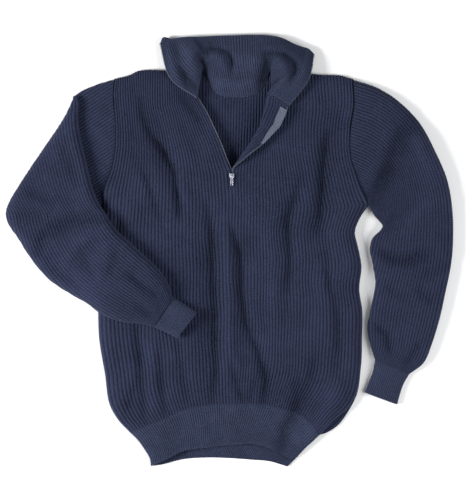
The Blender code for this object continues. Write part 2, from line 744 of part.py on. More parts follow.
def band_front_patch():
    count = 2 * RIBS_BAND
    seam = offset(along(WAIST_SEAM, even(count)), -SEAM_GAP)
    rows = 2
    left = along(BAND_LEFT, even(rows))[::-1]
    right = along(BAND_RIGHT, even(rows))[::-1]
    left[-1], right[-1] = seam[0], seam[-1]
    plan = coons(along(HEM_FRONT, even(count)), seam, left, right, even(count), even(rows))
    grid = body_grid(plan)
    direction = normals(grid)
    direction[-1] = keep_in_seam(direction[-1], seam_across(grid[-1]))
    for side in (0, -1):
        direction[:, side] = keep_level(direction[:, side])
    rib = ribs(count + 1) * BAND_RIB
    columns = every(INNER_STEP, count + 1)
    rims = {"left", "right", "top", "bottom"}
    return Patch(*walls(grid, direction, WALL, rib), columns, rims, False, 0)


def band_back_patch():
    """The back of the waistband lies flat, with ribs inside its hem."""
    count = 2 * RIBS_BAND
    seam = offset(along(WAIST_SEAM, even(count)), -SEAM_GAP)[::-1]
    rows = 2
    left = along(BAND_LEFT, even(rows))
    right = along(BAND_RIGHT_BACK, even(rows))
    hem = along(HEM_BACK, even(count))[::-1]
    left[0], right[0] = seam[-1], seam[0]
    plan = coons(seam, hem, right, left, even(count), even(rows))
    height = np.zeros(plan.shape[:2])
    height[-1, INNER_STEP:-INNER_STEP] = BAND_RIB * ribs(count + 1)[INNER_STEP:-INNER_STEP]
    columns = every(INNER_STEP, count + 1)
    return Patch(
        lift(plan, WALL + height), lift(plan, height * 0), columns,
        {"left", "right", "top", "bottom"}, False, 2,
    )


def spread(count):
    """Shares across a sleeve, closer together near its edges."""
    share = even(count)
    return 0.5 * share + 0.5 * (0.5 - 0.5 * np.cos(math.pi * share))


def floor_under(points):
    return np.zeros(len(points))


def swelling(shares, width):
    """How far a sleeve's top has risen, from 0 at its edges to 1 in its middle."""
    away = np.minimum(shares, 1 - shares) * width
    round_part = min(SLEEVE_ROUND, width / 3)
    return 0.8 * rounded(away / round_part) + 0.2 * np.sin(math.pi * shares)


def sleeve_rise(plan, shares, width, crown):
    """Height of a sleeve's top over its underside, with its folds."""
    swell = swelling(shares, width)
    dent = fold_depth(plan, SLEEVE_FOLDS) * swell
    return np.maximum(crown * swell - dent, crown * swell * LEAST_RISE)


def tube_patch(lines, crowns, rib_count, under, low_shares):
    """A sleeve. Each of its lines turns shares across it into plan points."""
    top_shares = spread(2 * rib_count)
    shares = np.concatenate([top_shares, low_shares])
    tops = np.arange(len(shares)) < len(top_shares)
    outer_rows, inner_rows = [], []
    for line, crown in zip(lines, crowns):
        width = np.linalg.norm(line(np.array([0.0])) - line(np.array([1.0])))
        inset = WALL / width
        within = inset + shares * (1 - 2 * inset)
        faces = []
        for places, wall in ((shares, WALL), (within, 0.0)):
            plan = line(places)
            base = under(plan)
            rise = sleeve_rise(plan, places, width, crown)
            rise += np.maximum(soft_under(plan, under) - base, 0) * swelling(places, width)
            faces.append((plan, base, base + wall + rise))
        (plan, base, high), (plan_in, base_in, high_in) = faces
        rib = np.zeros(len(shares))
        rib[tops] = ribs(len(top_shares)) * min(1.0, width / FULL_RIB_WIDTH)
        high_in = np.maximum(high_in, base_in + WALL + LEAST_HOLLOW)
        outer_rows.append(lift(plan, np.where(tops, high + rib, base)))
        inner_rows.append(lift(plan_in, np.where(tops, high_in, base_in + WALL)))
    columns = every(INNER_STEP, len(top_shares)) + list(range(len(top_shares), len(shares)))
    return Patch(np.array(outer_rows), np.array(inner_rows), columns, {"top", "bottom"}, True, 0)


def soft_under(points, under):
    """The height beneath, evened out over the cloth's stiffness."""
    total = under(points) * 2
    for turn in np.linspace(0, 2 * math.pi, 9)[:-1]:
        total = total + under(points + SOFT_REACH * np.array([math.cos(turn), math.sin(turn)]))
    return total / 10


def resting_on(outline, height, clearance):
    """The height that an underside needs to pass over a piece."""

    def under(points):
        best = np.zeros(len(points))
        for reach in RING_REACHES:
            for turn in np.linspace(0, 2 * math.pi, 13)[: -1 if reach else 1]:
                near = points + reach * np.array([math.cos(turn), math.sin(turn)])
                need = np.where(inside(near, outline), height(near) + clearance, 0.0)
                best = np.maximum(best, need)
        return best

    return under


def armhole_shares(line):
    """Shares of an underside's points, which meet those of the body's armhole."""
    return 1 - shares_of(line)[1:-1]


def straight(section):
    start = np.array([section.outer_x, section.outer_y], float)
    end = np.array([section.inner_x, section.inner_y], float)
    return lambda shares: start + np.outer(shares, end - start)


def moved(line, step):
    return lambda shares: line(shares) + step


def right_sleeve_patch():
    armhole = offset(ARM_RIGHT, -SEAM_GAP)[::-1]
    first = straight(RIGHT_SLEEVE[0])

    def bowed(section, share):
        line = straight(section)
        return lambda s: line(s) + share * (on_polyline(armhole, s) - first(s))

    lines = [lambda s: on_polyline(armhole, s)]
    bends = len(ARMHOLE_BENDS)
    lines += [bowed(*pair) for pair in zip(RIGHT_SLEEVE[1 : bends + 1], ARMHOLE_BENDS)]
    lines += [straight(section) for section in RIGHT_SLEEVE[bends + 1 :]]
    crowns = [section.crown for section in RIGHT_SLEEVE]
    low_shares = armhole_shares(ARM_RIGHT)
    return tube_patch(lines[::-1], crowns[::-1], RIBS_SLEEVE, floor_under, low_shares)


def cap_patch():
    armhole = offset(ARM_LEFT, SEAM_GAP)[::-1]
    tuck = along(TUCK_LINE, even(12))
    edge = along(CAP_EDGE, even(3))

    def between(share, corner):
        def line(s):
            plain = (1 - share) * on_polyline(armhole, s) + share * on_polyline(tuck, s)
            bulge = corner - ((1 - share) * armhole[0] + share * tuck[0])
            return plain + np.outer((1 - s) ** CAP_CORNER_HOLD, bulge)

        return line

    lines = [between(0.0, armhole[0])]
    lines += [between(share, corner) for share, corner in zip(CAP_SHARES[1:], edge[1:])]
    return tube_patch(lines, CAP_CROWNS, RIBS_CAP, floor_under, armhole_shares(ARM_LEFT))


def arm_patch(sections, rib_count, under, low_count, gap=0.0):
    lines = [straight(section) for section in sections]
    if gap:
        run = lines[1](np.array([0.5]))[0] - lines[0](np.array([0.5]))[0]
        lines[0] = moved(lines[0], gap * run / np.linalg.norm(run))
    crowns = [section.crown for section in sections]
    return tube_patch(lines, crowns, rib_count, under, even(low_count + 1)[-2:0:-1])


def under_left_arm():
    """Height under the folded left sleeve: the floor, its own top or the body."""
    tuck = along(TUCK_LINE, even(12))
    cap = np.concatenate([tuck, ARM_LEFT, along(CAP_EDGE, even(3))])
    cap_top = WALL + CAP_CROWNS[-1] + RIB_HEIGHT
    over_cap = resting_on(cap, lambda p: np.full(len(p), cap_top), CAP_CLEARANCE)
    over_body = resting_on(
        FRONT_OUTLINE, lambda p: body_height(p) + RIB_HEIGHT, BODY_CLEARANCE
    )
    return lambda points: np.maximum(over_cap(points), over_body(points))


def collar_seam(shares):
    """The collar's seam: over the left front's neck, round the back's, along the right's."""
    part = np.digitize(shares, [COLLAR_BACK_START, COLLAR_BACK_END])
    left = body_grid(along(NECK_LEFT, shares[part == 0] / COLLAR_BACK_START)[None])[0]
    left[:, 2] += OVER_EDGE
    span = COLLAR_BACK_END - COLLAR_BACK_START
    back = along(NECK_BACK, (shares[part == 1] - COLLAR_BACK_START) / span)
    back = lift(offset(back, 2 * SEAM_GAP), np.full(len(back), COLLAR_WALL / 2 + FLOOR_GAP))
    down = (1 - shares[part == 2]) / (1 - COLLAR_BACK_END)
    right = rolled(along(NECK_RIGHT, down)[None])[0]
    flat = body_grid(right[None, :, :2])[0, :, 2]
    turned = np.clip((right[:, 2] - flat) / LAPEL_RADIUS, 0, 1)
    right[:, 2] += OVER_EDGE * (1 - turned)
    right += LAPEL_ACROSS * SEAM_GAP * (1 + turned[:, None])
    seam = np.concatenate([left, back, right])
    wide = np.pad(seam[:, 2], 2, mode="edge")
    highest = np.max([wide[k : k + len(seam)] for k in range(5)], axis=0)
    wide = np.pad(highest, 2, mode="edge")
    evened = np.mean([wide[k : k + len(seam)] for k in range(5)], axis=0)
    seam[:, 2] = np.where(shares < COLLAR_BACK_END + 0.1, evened, seam[:, 2])
    return seam


def collar_patch():
    stations = np.array(COLLAR, float)
    count, rows = 2 * RIBS_COLLAR, 6
    shares = even(count)
    middle = along(stations[:, 1:4], shares, stations[:, 0])
    top = along(stations[:, 4:7], shares, stations[:, 0])
    rails = np.stack([collar_seam(shares), middle, top], 1)
    grid = np.stack([along(rail, even(rows), even(2)) for rail in rails], 1)
    plan = grid[..., :2].reshape(-1, 2)
    height = grid[..., 2].reshape(-1) - fold_depth(plan, COLLAR_FOLDS) * np.repeat(
        rounded(even(rows) / COLLAR_HOLD), count + 1
    )
    over = np.where(inside(plan, FRONT_OUTLINE), body_height(plan) + RIB_HEIGHT, 0.0)
    least = over + COLLAR_WALL / 2 + COLLAR_CLEARANCE
    free = np.repeat(even(rows) > 0, count + 1)
    height = np.where(free, np.maximum(height, least), height)
    grid[..., 2] = height.reshape(rows + 1, count + 1)
    direction = normals(grid)
    across = seam_across(grid[0])
    across[shares > COLLAR_BACK_END] = LAPEL_ACROSS
    direction[0] = keep_in_seam(direction[0], across)
    outer, inner = walls(grid, direction, COLLAR_WALL, ribs(count + 1) * COLLAR_RIB)
    outer[..., 2] = np.maximum(outer[..., 2], COLLAR_WALL)
    inner[..., 2] = np.maximum(inner[..., 2], 0.0)
    turns = [round(share * count / 2) * 2 for share in (COLLAR_BACK_START, COLLAR_BACK_END)]
    columns = set(every(INNER_STEP, count + 1))
    for turn in turns:
        columns |= {turn - 2, turn, turn + 2}
    rims = {"left", "right", "top", "bottom"}
    return Patch(outer, inner, sorted(columns), rims, False, 0)


def box(work, low, high):
    """A box between two corners, in millimetres."""
    low, high = np.array(low, float), np.array(high, float)
    made = bmesh.ops.create_cube(work, size=1.0)["verts"]
    for vert in made:
        vert.co = (np.array(vert.co) + 0.5) * (high - low) + low
    return made


def add_metal(name, work, material, place, turn=0.0):
    for vert in work.verts:
        vert.co *= METRE
    mesh = bpy.data.meshes.new(name)
    work.to_mesh(mesh)
    work.free()
    mesh.materials.append(material)
    thing = bpy.data.objects.new(name, mesh)
    bpy.context.scene.collection.objects.link(thing)
    thing.location = [value * METRE for value in place]
    thing.rotation_euler.x = turn
    return thing


def side_outline(points, half_width):
    """A solid from an outline of (y, z) points, as wide as given each side of x = 0."""
    work = bmesh.new()
    face = work.faces.new([work.verts.new((-half_width, y, z)) for y, z in points])
    made = bmesh.ops.extrude_face_region(work, geom=[face])["geom"]
    moving = [v for v in made if isinstance(v, bmesh.types.BMVert)]
    bmesh.ops.translate(work, verts=moving, vec=(2 * half_width, 0, 0))
    bmesh.ops.recalc_face_normals(work, faces=work.faces)
    return work


def join(thing, others):
    for other in others:
        union = thing.modifiers.new("join", "BOOLEAN")
        union.operation = "UNION"
        union.object = other
        other.hide_render = True
        other.display_type = "WIRE"


def slider_top():
    """Height of the pull's pivot line over the floor."""
    crest = body_height(np.array([[SLIT_END[0], SLIDER_Y]]))[0] + RIB_HEIGHT
    return crest + FLOOR_GAP + SLIDER_HEIGHT


def add_slider(material):
    """The slider's body with the bridge that holds the pull."""
    half = SLIDER_LENGTH / 2
    place = (SLIT_END[0], SLIDER_Y, slider_top())
    work = bmesh.new()
    verts = box(work, (-SLIDER_WIDTH / 2, -half, -SLIDER_HEIGHT), (SLIDER_WIDTH / 2, half, 0))
    for vert in verts:
        if vert.co.y < 0:
            vert.co.x *= SLIDER_TAPER
    upright = [e for e in work.edges if abs(e.verts[0].co.z - e.verts[1].co.z) > 1]
    bmesh.ops.bevel(work, geom=upright, offset=SLIDER_CORNER, segments=3, affect="EDGES")
    rim = [e for e in work.edges if min(v.co.z for v in e.verts) > -0.01]
    bmesh.ops.bevel(work, geom=rim, offset=SLIDER_RIM, segments=2, affect="EDGES")
    body = add_metal("zip_slider", work, material, place)
    reach, rise, thick, sink = BRIDGE_REACH, BRIDGE_RISE, BRIDGE_THICK, -BRIDGE_SINK
    cut_y, cut_z = BRIDGE_CHAMFER
    outline = [
        (-reach - thick, sink), (-reach - thick, rise), (-reach, rise + thick),
        (reach, rise + thick), (reach + thick, rise), (reach + thick, sink),
        (reach, sink), (reach, rise - cut_z), (reach - cut_y, rise),
        (-reach + cut_y, rise), (-reach, rise - cut_z), (-reach, sink),
    ]
    bridge = add_metal("bridge", side_outline(outline, BRIDGE_WIDTH / 2), material, place)
    join(body, [bridge])
    return body


def add_pull(material):
    """The pull tab, which turns about its pin under the bridge."""
    place = (SLIT_END[0], SLIDER_Y, slider_top() + PIN_RISE)
    inner = BRIDGE_WIDTH / 2 + PULL_ARM_GAP
    half, low, high = PULL_WIDTH / 2, -PULL_THICK / 2, PULL_THICK / 2
    work = bmesh.new()
    end, tip = half * PULL_NARROWING, PULL_TIP - PULL_LENGTH
    outline = [(inner + PULL_ARM, PULL_LUG), (inner + PULL_ARM, -PULL_START)]
    outline += [(half, -PULL_START - PULL_SHOULDER), (end, tip)]
    outline += [
        (end * math.cos(a), tip - PULL_TIP * math.sin(a))
        for a in np.linspace(0, math.pi, 9)[1:-1]
    ]
    outline += [(-x, y) for x, y in outline[3::-1]]
    outline += [(-inner, PULL_LUG), (-inner, -PULL_START), (inner, -PULL_START), (inner, PULL_LUG)]
    face = work.faces.new([work.verts.new((x, y, low)) for x, y in outline])
    made = bmesh.ops.extrude_face_region(work, geom=[face])["geom"]
    moving = [v for v in made if isinstance(v, bmesh.types.BMVert)]
    bmesh.ops.translate(work, verts=moving, vec=(0, 0, high - low))
    bmesh.ops.recalc_face_normals(work, faces=work.faces)
    pull = add_metal("zip_pull", work, material, place, PULL_TILT)
    work = bmesh.new()
    bmesh.ops.create_cone(
        work, cap_ends=True, segments=12, radius1=PIN_RADIUS, radius2=PIN_RADIUS,
        depth=2 * (inner + PIN_OVER),
    )
    for vert in work.verts:
        vert.co = (vert.co.z, vert.co.y, -vert.co.x)
    pin = add_metal("pin", work, material, place, PULL_TILT)
    work = bmesh.new()
    bmesh.ops.create_cone(
        work, cap_ends=True, segments=16, radius1=PULL_EYE, radius2=PULL_EYE,
        depth=4 * PULL_THICK,
    )
    bmesh.ops.translate(work, verts=work.verts, vec=(0, PULL_EYE_PLACE - PULL_LENGTH, 0))
    eye = add_metal("eye", work, material, place, PULL_TILT)
    join(pull, [pin])
    cut = pull.modifiers.new("eye", "BOOLEAN")
    cut.operation = "DIFFERENCE"
    cut.object = eye
    eye.hide_render = True
    eye.display_type = "WIRE"
    return pull


def main():
    for thing in list(bpy.data.objects):
        bpy.data.objects.remove(thing)
    knit = new_material("navy rib knit", (0.026, 0.030, 0.060), 0.9)
    fine = new_material("navy fine rib knit", (0.035, 0.042, 0.078), 0.9)
    tape = new_material("grey-blue zip tape", (0.075, 0.085, 0.135), 0.8)
    metal = new_material("bright zip metal", (0.75, 0.75, 0.78), 0.3, 1.0)

    front = front_patches()
    add_wall("front", front, knit)
    add_wall("back", [back_patch()], knit)
    add_wall("waistband_front", [band_front_patch()], fine)
    add_wall("waistband_back", [band_back_patch()], fine)
    add_wall("sleeve_right", [right_sleeve_patch()], knit)
    add_wall("cuff_right", [arm_patch(RIGHT_CUFF, RIBS_CUFF, floor_under, 4, SEAM_GAP)], fine)
    under = under_left_arm()
    add_wall("sleeve_left_cap", [cap_patch()], knit)
    add_wall("sleeve_left_upper", [arm_patch(LEFT_ARM[: ELBOW + 1], RIBS_ARM, under, 9)], knit)
    forearm = arm_patch(LEFT_ARM[ELBOW:], RIBS_ARM, under, 9, SEAM_GAP)
    add_wall("sleeve_left_forearm", [forearm], knit)
    add_wall("cuff_left", [arm_patch(LEFT_CUFF, RIBS_CUFF, under, 4, SEAM_GAP)], fine)
    add_wall("collar", [collar_patch()], fine)
    add_wall("zip_tape_left", [tape_left_patch()], tape)
    add_wall("zip_tape_right", [tape_right_patch(front[2])], tape)
    add_slider(metal)
    add_pull(metal)


main()
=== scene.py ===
"""A navy ribbed half-zip sweater laid flat, with its collar spread open.

Lengths are in millimetres until a mesh is made. +Y points to the neck and +Z up, and
left and right are as seen from above. Tables hold the seams' routes, the sleeves'
sections and the folds. Each knitted piece is a closed wall whose ribs are modelled, and
its UV map counts ribs across and rows of stitches along.
"""

import math
from collections import namedtuple

import bmesh
import bpy
import numpy as np
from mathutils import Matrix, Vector


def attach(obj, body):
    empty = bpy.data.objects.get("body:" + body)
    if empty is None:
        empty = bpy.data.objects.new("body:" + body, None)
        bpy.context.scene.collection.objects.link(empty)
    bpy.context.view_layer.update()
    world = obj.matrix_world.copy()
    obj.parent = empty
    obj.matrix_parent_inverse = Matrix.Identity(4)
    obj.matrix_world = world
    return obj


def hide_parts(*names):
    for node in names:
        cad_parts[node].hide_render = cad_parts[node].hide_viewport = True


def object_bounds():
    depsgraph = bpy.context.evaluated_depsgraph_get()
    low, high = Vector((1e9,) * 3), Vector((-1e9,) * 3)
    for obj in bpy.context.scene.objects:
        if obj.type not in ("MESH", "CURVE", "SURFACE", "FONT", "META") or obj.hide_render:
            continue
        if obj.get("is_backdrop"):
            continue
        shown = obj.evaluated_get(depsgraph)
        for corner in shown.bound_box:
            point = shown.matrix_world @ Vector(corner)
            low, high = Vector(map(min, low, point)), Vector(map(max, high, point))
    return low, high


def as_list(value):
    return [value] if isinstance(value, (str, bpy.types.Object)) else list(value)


METRE = 0.001
WALL = 3.0
COLLAR_WALL = 4.0
FLOOR_GAP = 0.3
FRONT_EDGE = WALL + FLOOR_GAP + 0.2
SEAM_GAP = 0.45
BODY_CLEARANCE = 3.2
CAP_CLEARANCE = 0.8
BODY_ROUND = 24.0
SLEEVE_ROUND = 18.0
LEAST_RISE = 0.45
LEAST_HOLLOW = 0.8
LAPEL_RADIUS = 6.0
MERGE = 2e-6
FOLD_SHADE = 8.0
FOLD_GAIN = 1.15
SIDE_PULL = 4.0
CHEST_PULL = 2.0
SHARP_EDGE = math.radians(60)
ALL_RIMS = {"left", "right", "top", "bottom"}

RIB_PITCH = 5.9
RIB_HEIGHT = 1.2
FINE_PITCH = 4.0
FINE_HEIGHT = 0.9
COURSE = 3.1
# Ribs across each piece, and mesh columns for one rib
RIBS_LEFT = 38
RIBS_RIGHT = 41
RIBS_NECK_RIGHT = 16
RIBS_BAND = 84
RIBS_COLLAR = 84
RIBS_CUFF = 17
RIBS_NECK_BACK = 24
STEPS = 6
FINE_STEPS = 4
CUFF_STEPS = 6
# Other rows and columns of the meshes
SIDE_ROWS = 62
ARMHOLE_LOW_ROWS = 9
ARMHOLE_ROWS = 40
BACK_SIDE_COLUMNS = 28
BAND_ROWS = 26
BAND_BACK_ROWS = 20
SLEEVE_ROWS = 190
SLEEVE_COLUMNS = 190
CAP_ROWS = 26
CAP_COLUMNS = 230
ARM_ROWS = 200
ARM_COLUMNS = 180
CUFF_ROWS = 16
COLLAR_ROWS = 26
UNDERSIDE_COLUMNS = 14
INSIDE_STEP = 8
# Shares of the armhole, of the waist seam and of the back's width
ARMHOLE_SPLIT = 0.26
SLIDER_SHARE = 0.54
BACK_NECK = (0.36, 0.66)
BACK_RIB_HEIGHT = 1.1
BACK_RIB_FADE = 6

Patch = namedtuple("Patch", "outer inner knit columns rims closed")
Section = namedtuple("Section", "outer_x outer_y inner_x inner_y crown")
Fold = namedtuple("Fold", "width depth route")
Crown = namedtuple("Crown", "y height")
Station = namedtuple("Station", "share mid_x mid_y mid_z top_x top_y top_z")
Sheet = namedtuple("Sheet", "name slot nodes cut patches surface rests_on folds")
Bead = namedtuple("Bead", "length width height gap")

# Seams and edges of the body, as (x, y)
WAIST_SEAM = [
    (-179, -327), (-148, -315), (-122, -304), (-86, -288), (-49, -279), (6, -276),
    (62, -278), (98, -286), (127, -297), (148, -313), (161, -333),
]
SIDE_LEFT = [
    (-179, -327), (-199, -306), (-212, -285), (-224, -220), (-234, -159),
    (-236, -89), (-235, -17), (-230, 52), (-228, 82),
]
SIDE_RIGHT = [
    (161, -333), (190, -303), (212, -285), (226, -263), (236, -211), (238, -155),
    (238, -103), (233, -71), (237, -27), (230, 10), (225, 34), (233, 57), (251, 84),
]
BACK_SIDE_RIGHT = [
    (161, -333), (170, -331), (194, -317), (216, -288), (230, -260), (237, -211),
    (238, -155), (238, -103), (233, -71), (237, -27), (230, 10), (225, 34),
    (233, 57), (251, 84),
]
ARMHOLE_LEFT = [
    (-228, 82), (-226, 109), (-212, 151), (-207, 178), (-206, 230), (-210, 284),
    (-208, 309),
]
ARMHOLE_RIGHT = [
    (251, 84), (237, 113), (228, 137), (219, 167), (219, 223), (225, 261), (223, 309),
]
SHOULDER_LEFT = [(-208, 309), (-183, 315), (-165, 323), (-115, 324), (-80, 326), (-48, 331)]
SHOULDER_RIGHT = [(76, 329), (109, 323), (145, 318), (168, 316), (199, 315), (223, 309)]
SLIDER_ROW_LEFT = [(-143, 132), (-71, 136)]
SLIDER_ROW_RIGHT = [(82, 136), (154, 128)]
SLIT_END = (4, 142)
ZIP_EDGE_LEFT = [SLIT_END, (-6, 165), (-15, 189), (-30, 223), (-44, 252), (-58, 275)]
NECK_LEFT = [(-58, 275), (-54, 300), (-48, 331)]
SLIT_RIGHT = [SLIT_END, (10, 189), (17, 223), (21, 259)]
NECK_RIGHT = [(21, 259), (48, 273), (75, 288), (76, 307), (76, 329)]
NECK_BACK = [
    (-48, 331), (-41, 309), (-30, 290), (-14, 280), (6, 278), (30, 279), (48, 284),
    (63, 298), (76, 329),
]

# The line that the right front rolls over, as (y, x)
ROLL_LINE = [
    (142, 4), (160, 22), (174, 31), (189, 42), (206, 52), (223, 62), (243, 68),
    (259, 72), (280, 75), (331, 76),
]

# Edges of the waistband below its seam
BAND_LEFT = [(-179, -327), (-165, -341), (-152, -359), (-142, -378), (-141, -389)]
BAND_RIGHT = [(161, -333), (139, -353), (120, -370), (110, -377)]
BAND_RIGHT_BACK = [(161, -333), (140, -354), (120, -375), (105, -390)]
HEM_FRONT = [
    (-141, -389), (-107, -373), (-86, -362), (-68, -358), (-41, -355), (-12, -351),
    (6, -350), (43, -348), (76, -358), (110, -377),
]
HEM_BACK = [
    (-141, -389), (-126, -387), (-86, -377), (-50, -374), (3, -375), (43, -378),
    (69, -380), (105, -390),
]

# Height of the body's top above the floor, up the middle
BODY_CROWNS = [
    Crown(-390, 13), Crown(-340, 15), Crown(-290, 19), Crown(-200, 21), Crown(0, 20),
    Crown(140, 19), Crown(230, 16), Crown(290, 13), Crown(335, 12),
]

# Soft troughs (depth above 0) and ridges (below 0), each with its width, its depth and
# its route, in the body and the waistband
BODY_FOLDS = [
    Fold(17, 3.5, [(-152, 268), (-125, 190), (-102, 126)]),
    Fold(15, 2.0, [(-178, 250), (-165, 160)]),
    Fold(15, 2.0, [(-70, 215), (-45, 130)]),
    Fold(17, 3.0, [(-39, 37), (-39, -262)]),
    Fold(15, 3.0, [(24, 40), (26, -262)]),
    Fold(18, 3.5, [(190, 239), (172, 130), (154, 30)]),
    Fold(16, 2.5, [(110, 90), (96, -120)]),
    Fold(14, 2.5, [(205, -60), (190, -230)]),
    Fold(13, 3.0, [(66, -215), (68, -270)]),
    Fold(13, 3.5, [(122, -225), (120, -280)]),
    Fold(10, 3.0, [(-165, -235), (-185, -290)]),
    Fold(16, 2.5, [(-170, -120), (-150, -215)]),
    Fold(8, 3.5, [(-161, 271), (-155, 240), (-143, 212), (-119, 181), (-98, 140), (-89, 67)]),
    Fold(9, 4.0, [(-125, 195), (-98, 140), (-91, 90), (-89, 60)]),
    Fold(9, 3.0, [(-155, 150), (-130, 78), (-122, 50)]),
    Fold(10, -2.5, [(-112, 165), (-76, 90)]),
    Fold(8, 3.0, [(-89, 285), (-60, 245), (-52, 232)]),
    Fold(9, 6.0, [(-40, 80), (-31, 32), (-27, -89), (-23, -220), (-31, -272)]),
    Fold(9, 5.5, [(0, 50), (17, -4), (21, -76), (29, -125), (49, -173), (67, -232), (60, -272)]),
    Fold(8, -2.5, [(-5, 60), (-2, -60), (0, -200)]),
    Fold(8, 3.5, [(1, -200), (14, -240), (24, -268)]),
    Fold(8, 3.5, [(50, -225), (34, -272)]),
    Fold(9, 5.5, [(176, 212), (168, 158), (163, 42)]),
    Fold(9, 5.0, [(132, 135), (104, 56), (109, -4), (107, -70)]),
    Fold(9, 3.0, [(176, 7), (178, -70)]),
    Fold(9, 3.0, [(178, -40), (195, -120), (200, -200)]),
    Fold(13, 6.0, [(158, -184), (148, -230), (132, -268), (103, -322), (92, -377)]),
    Fold(14, -4.0, [(196, -240), (178, -285), (140, -345)]),
    Fold(9, 4.0, [(-168, -130), (-161, -200), (-155, -262), (-152, -300)]),
    Fold(9, 3.5, [(-126, -180), (-119, -260), (-113, -292)]),
    Fold(9, 2.5, [(-95, -150), (-75, -268)]),
    Fold(12, -2.0, [(-140, -150), (-137, -280)]),
    Fold(14, -2.0, [(60, 60), (75, -20), (80, -120)]),
    Fold(9, 3.0, [(-196, 70), (-208, 5)]),
]

# Sections of the sleeves, each from its outer edge to its inner edge
RIGHT_SLEEVE = [
    Section(223, 309, 251, 84, 16),
    Section(268, 294, 258, 70, 18),
    Section(308, 268, 264, 61, 20),
    Section(345, 229, 270, 55, 21),
    Section(374, 175, 277, 45, 22),
    Section(394, 126, 272, 36, 23),
    Section(403, 72, 259, 23, 22),
    Section(404, 15, 254, 3, 22),
    Section(400, -28, 259, -24, 22),
    Section(391, -72, 264, -60, 21),
    Section(381, -118, 257, -100, 20),
    Section(368, -162, 250, -138, 19),
    Section(352, -201, 255, -170, 18),
    Section(325, -223, 263, -196, 13),
]
RIGHT_CUFF = [
    Section(325, -223, 263, -196, 11),
    Section(315, -240, 259, -218, 11),
    Section(308, -260, 251, -239, 10),
    Section(303, -278, 244, -256, 10),
]
LEFT_ARM = [
    Section(-281, 279, -275, 278, 3),
    Section(-284, 268, -271, 265, 7),
    Section(-298, 240, -272, 238, 12),
    Section(-326, 199, -268, 205, 18),
    Section(-352, 161, -258, 163, 21),
    Section(-379, 120, -248, 120, 22),
    Section(-397, 90, -235, 86, 22),
    Section(-404, 68, -222, 67, 21),
    Section(-398, 46, -218, 60, 20),
    Section(-384, 26, -214, 53, 21),
    Section(-360, -12, -208, 45, 22),
    Section(-330, -48, -197, 32, 21),
    Section(-297, -72, -181, 18, 21),
    Section(-260, -93, -161, -1, 20),
    Section(-225, -116, -141, -19, 19),
    Section(-188, -128, -122, -39, 18),
    Section(-158, -131, -110, -59, 16),
    Section(-136, -137, -102, -83, 12),
]
LEFT_CUFF = [
    Section(-136, -137, -102, -83, 10),
    Section(-122, -143, -87, -92, 10),
    Section(-108, -150, -72, -102, 9),
    Section(-94, -157, -58, -111, 9),
]
# The section just above the left elbow, and the room round the sleeve in its chart
ABOVE_ELBOW = 6
CHART_MARGIN = 30.0
# Where the folded top of the left sleeve ends, tucked under the arm
TUCK_LINE = [
    (-281, 279), (-285, 239), (-279, 205), (-269, 163), (-260, 120), (-247, 92), (-238, 76),
]
CAP_EDGE = [(-208, 309), (-234, 302), (-255, 294), (-271, 286), (-281, 279)]
CAP_SHARES = [0.0, 0.35, 0.7, 1.0]
CAP_CROWNS = [13.0, 11.0, 9.0, 8.0]
CAP_CORNER_HOLD = 6
CAP_LEAN = math.radians(33)
CAP_PITCH = 5.4
# How much of the right armhole's bend the sleeve keeps in its first sections
ARMHOLE_BENDS = [1.0, 0.6, 0.25, 0.0]
# How far round itself the folded sleeve feels what lies below it, and how strongly
SOFT_REACHES = [(0.0, 1.0), (7.0, 1.0), (14.0, 0.82), (21.0, 0.6), (28.0, 0.38), (35.0, 0.18)]
RING_TURNS = 13
# Ribs in the sleeves are closest at the cuffs, from these shares of their lengths on
RIGHT_GATHER = 0.75
LEFT_GATHER = 0.7
SLEEVE_PITCH = RIB_PITCH * 0.95
CUFF_END_PITCH = FINE_PITCH * 0.9

SLEEVE_FOLDS = [
    Fold(15, 6.0, [(330, 239), (300, 165), (262, 92)]),
    Fold(13, 4.0, [(307, 225), (285, 150), (258, 100)]),
    Fold(13, -4.0, [(330, 215), (352, 170), (362, 150)]),
    Fold(12, 5.5, [(268, 0), (300, -14), (330, -12), (366, -2)]),
    Fold(13, -3.5, [(362, 95), (335, 60), (320, 45)]),
    Fold(12, 3.0, [(395, -20), (350, -45)]),
    Fold(12, 3.0, [(280, -60), (320, -90)]),
    Fold(8, 4.0, [(345, -165), (318, -205)]),
    Fold(8, 4.5, [(263, -135), (285, -150), (290, -185)]),
    Fold(11, 3.0, [(335, -60), (368, -95)]),
    Fold(13, 5.5, [(-224, 60), (-275, 58), (-330, 30), (-345, 0)]),
    Fold(12, 3.0, [(-330, 66), (-385, 60)]),
    Fold(12, -3.0, [(-250, 30), (-285, 0), (-300, -30)]),
    Fold(12, 3.5, [(-300, 200), (-285, 160), (-270, 120)]),
    Fold(11, 3.0, [(-365, 112), (-320, 92), (-280, 96)]),
    Fold(12, 3.5, [(-225, 25), (-262, 0), (-250, -40)]),
    Fold(10, 3.0, [(-200, 0), (-215, -45)]),
    Fold(12, 2.5, [(-320, -30), (-270, -60)]),
    Fold(9, 3.0, [(-165, -95), (-140, -118)]),
    Fold(9, 3.5, [(-180, -40), (-150, -65), (-120, -82)]),
]

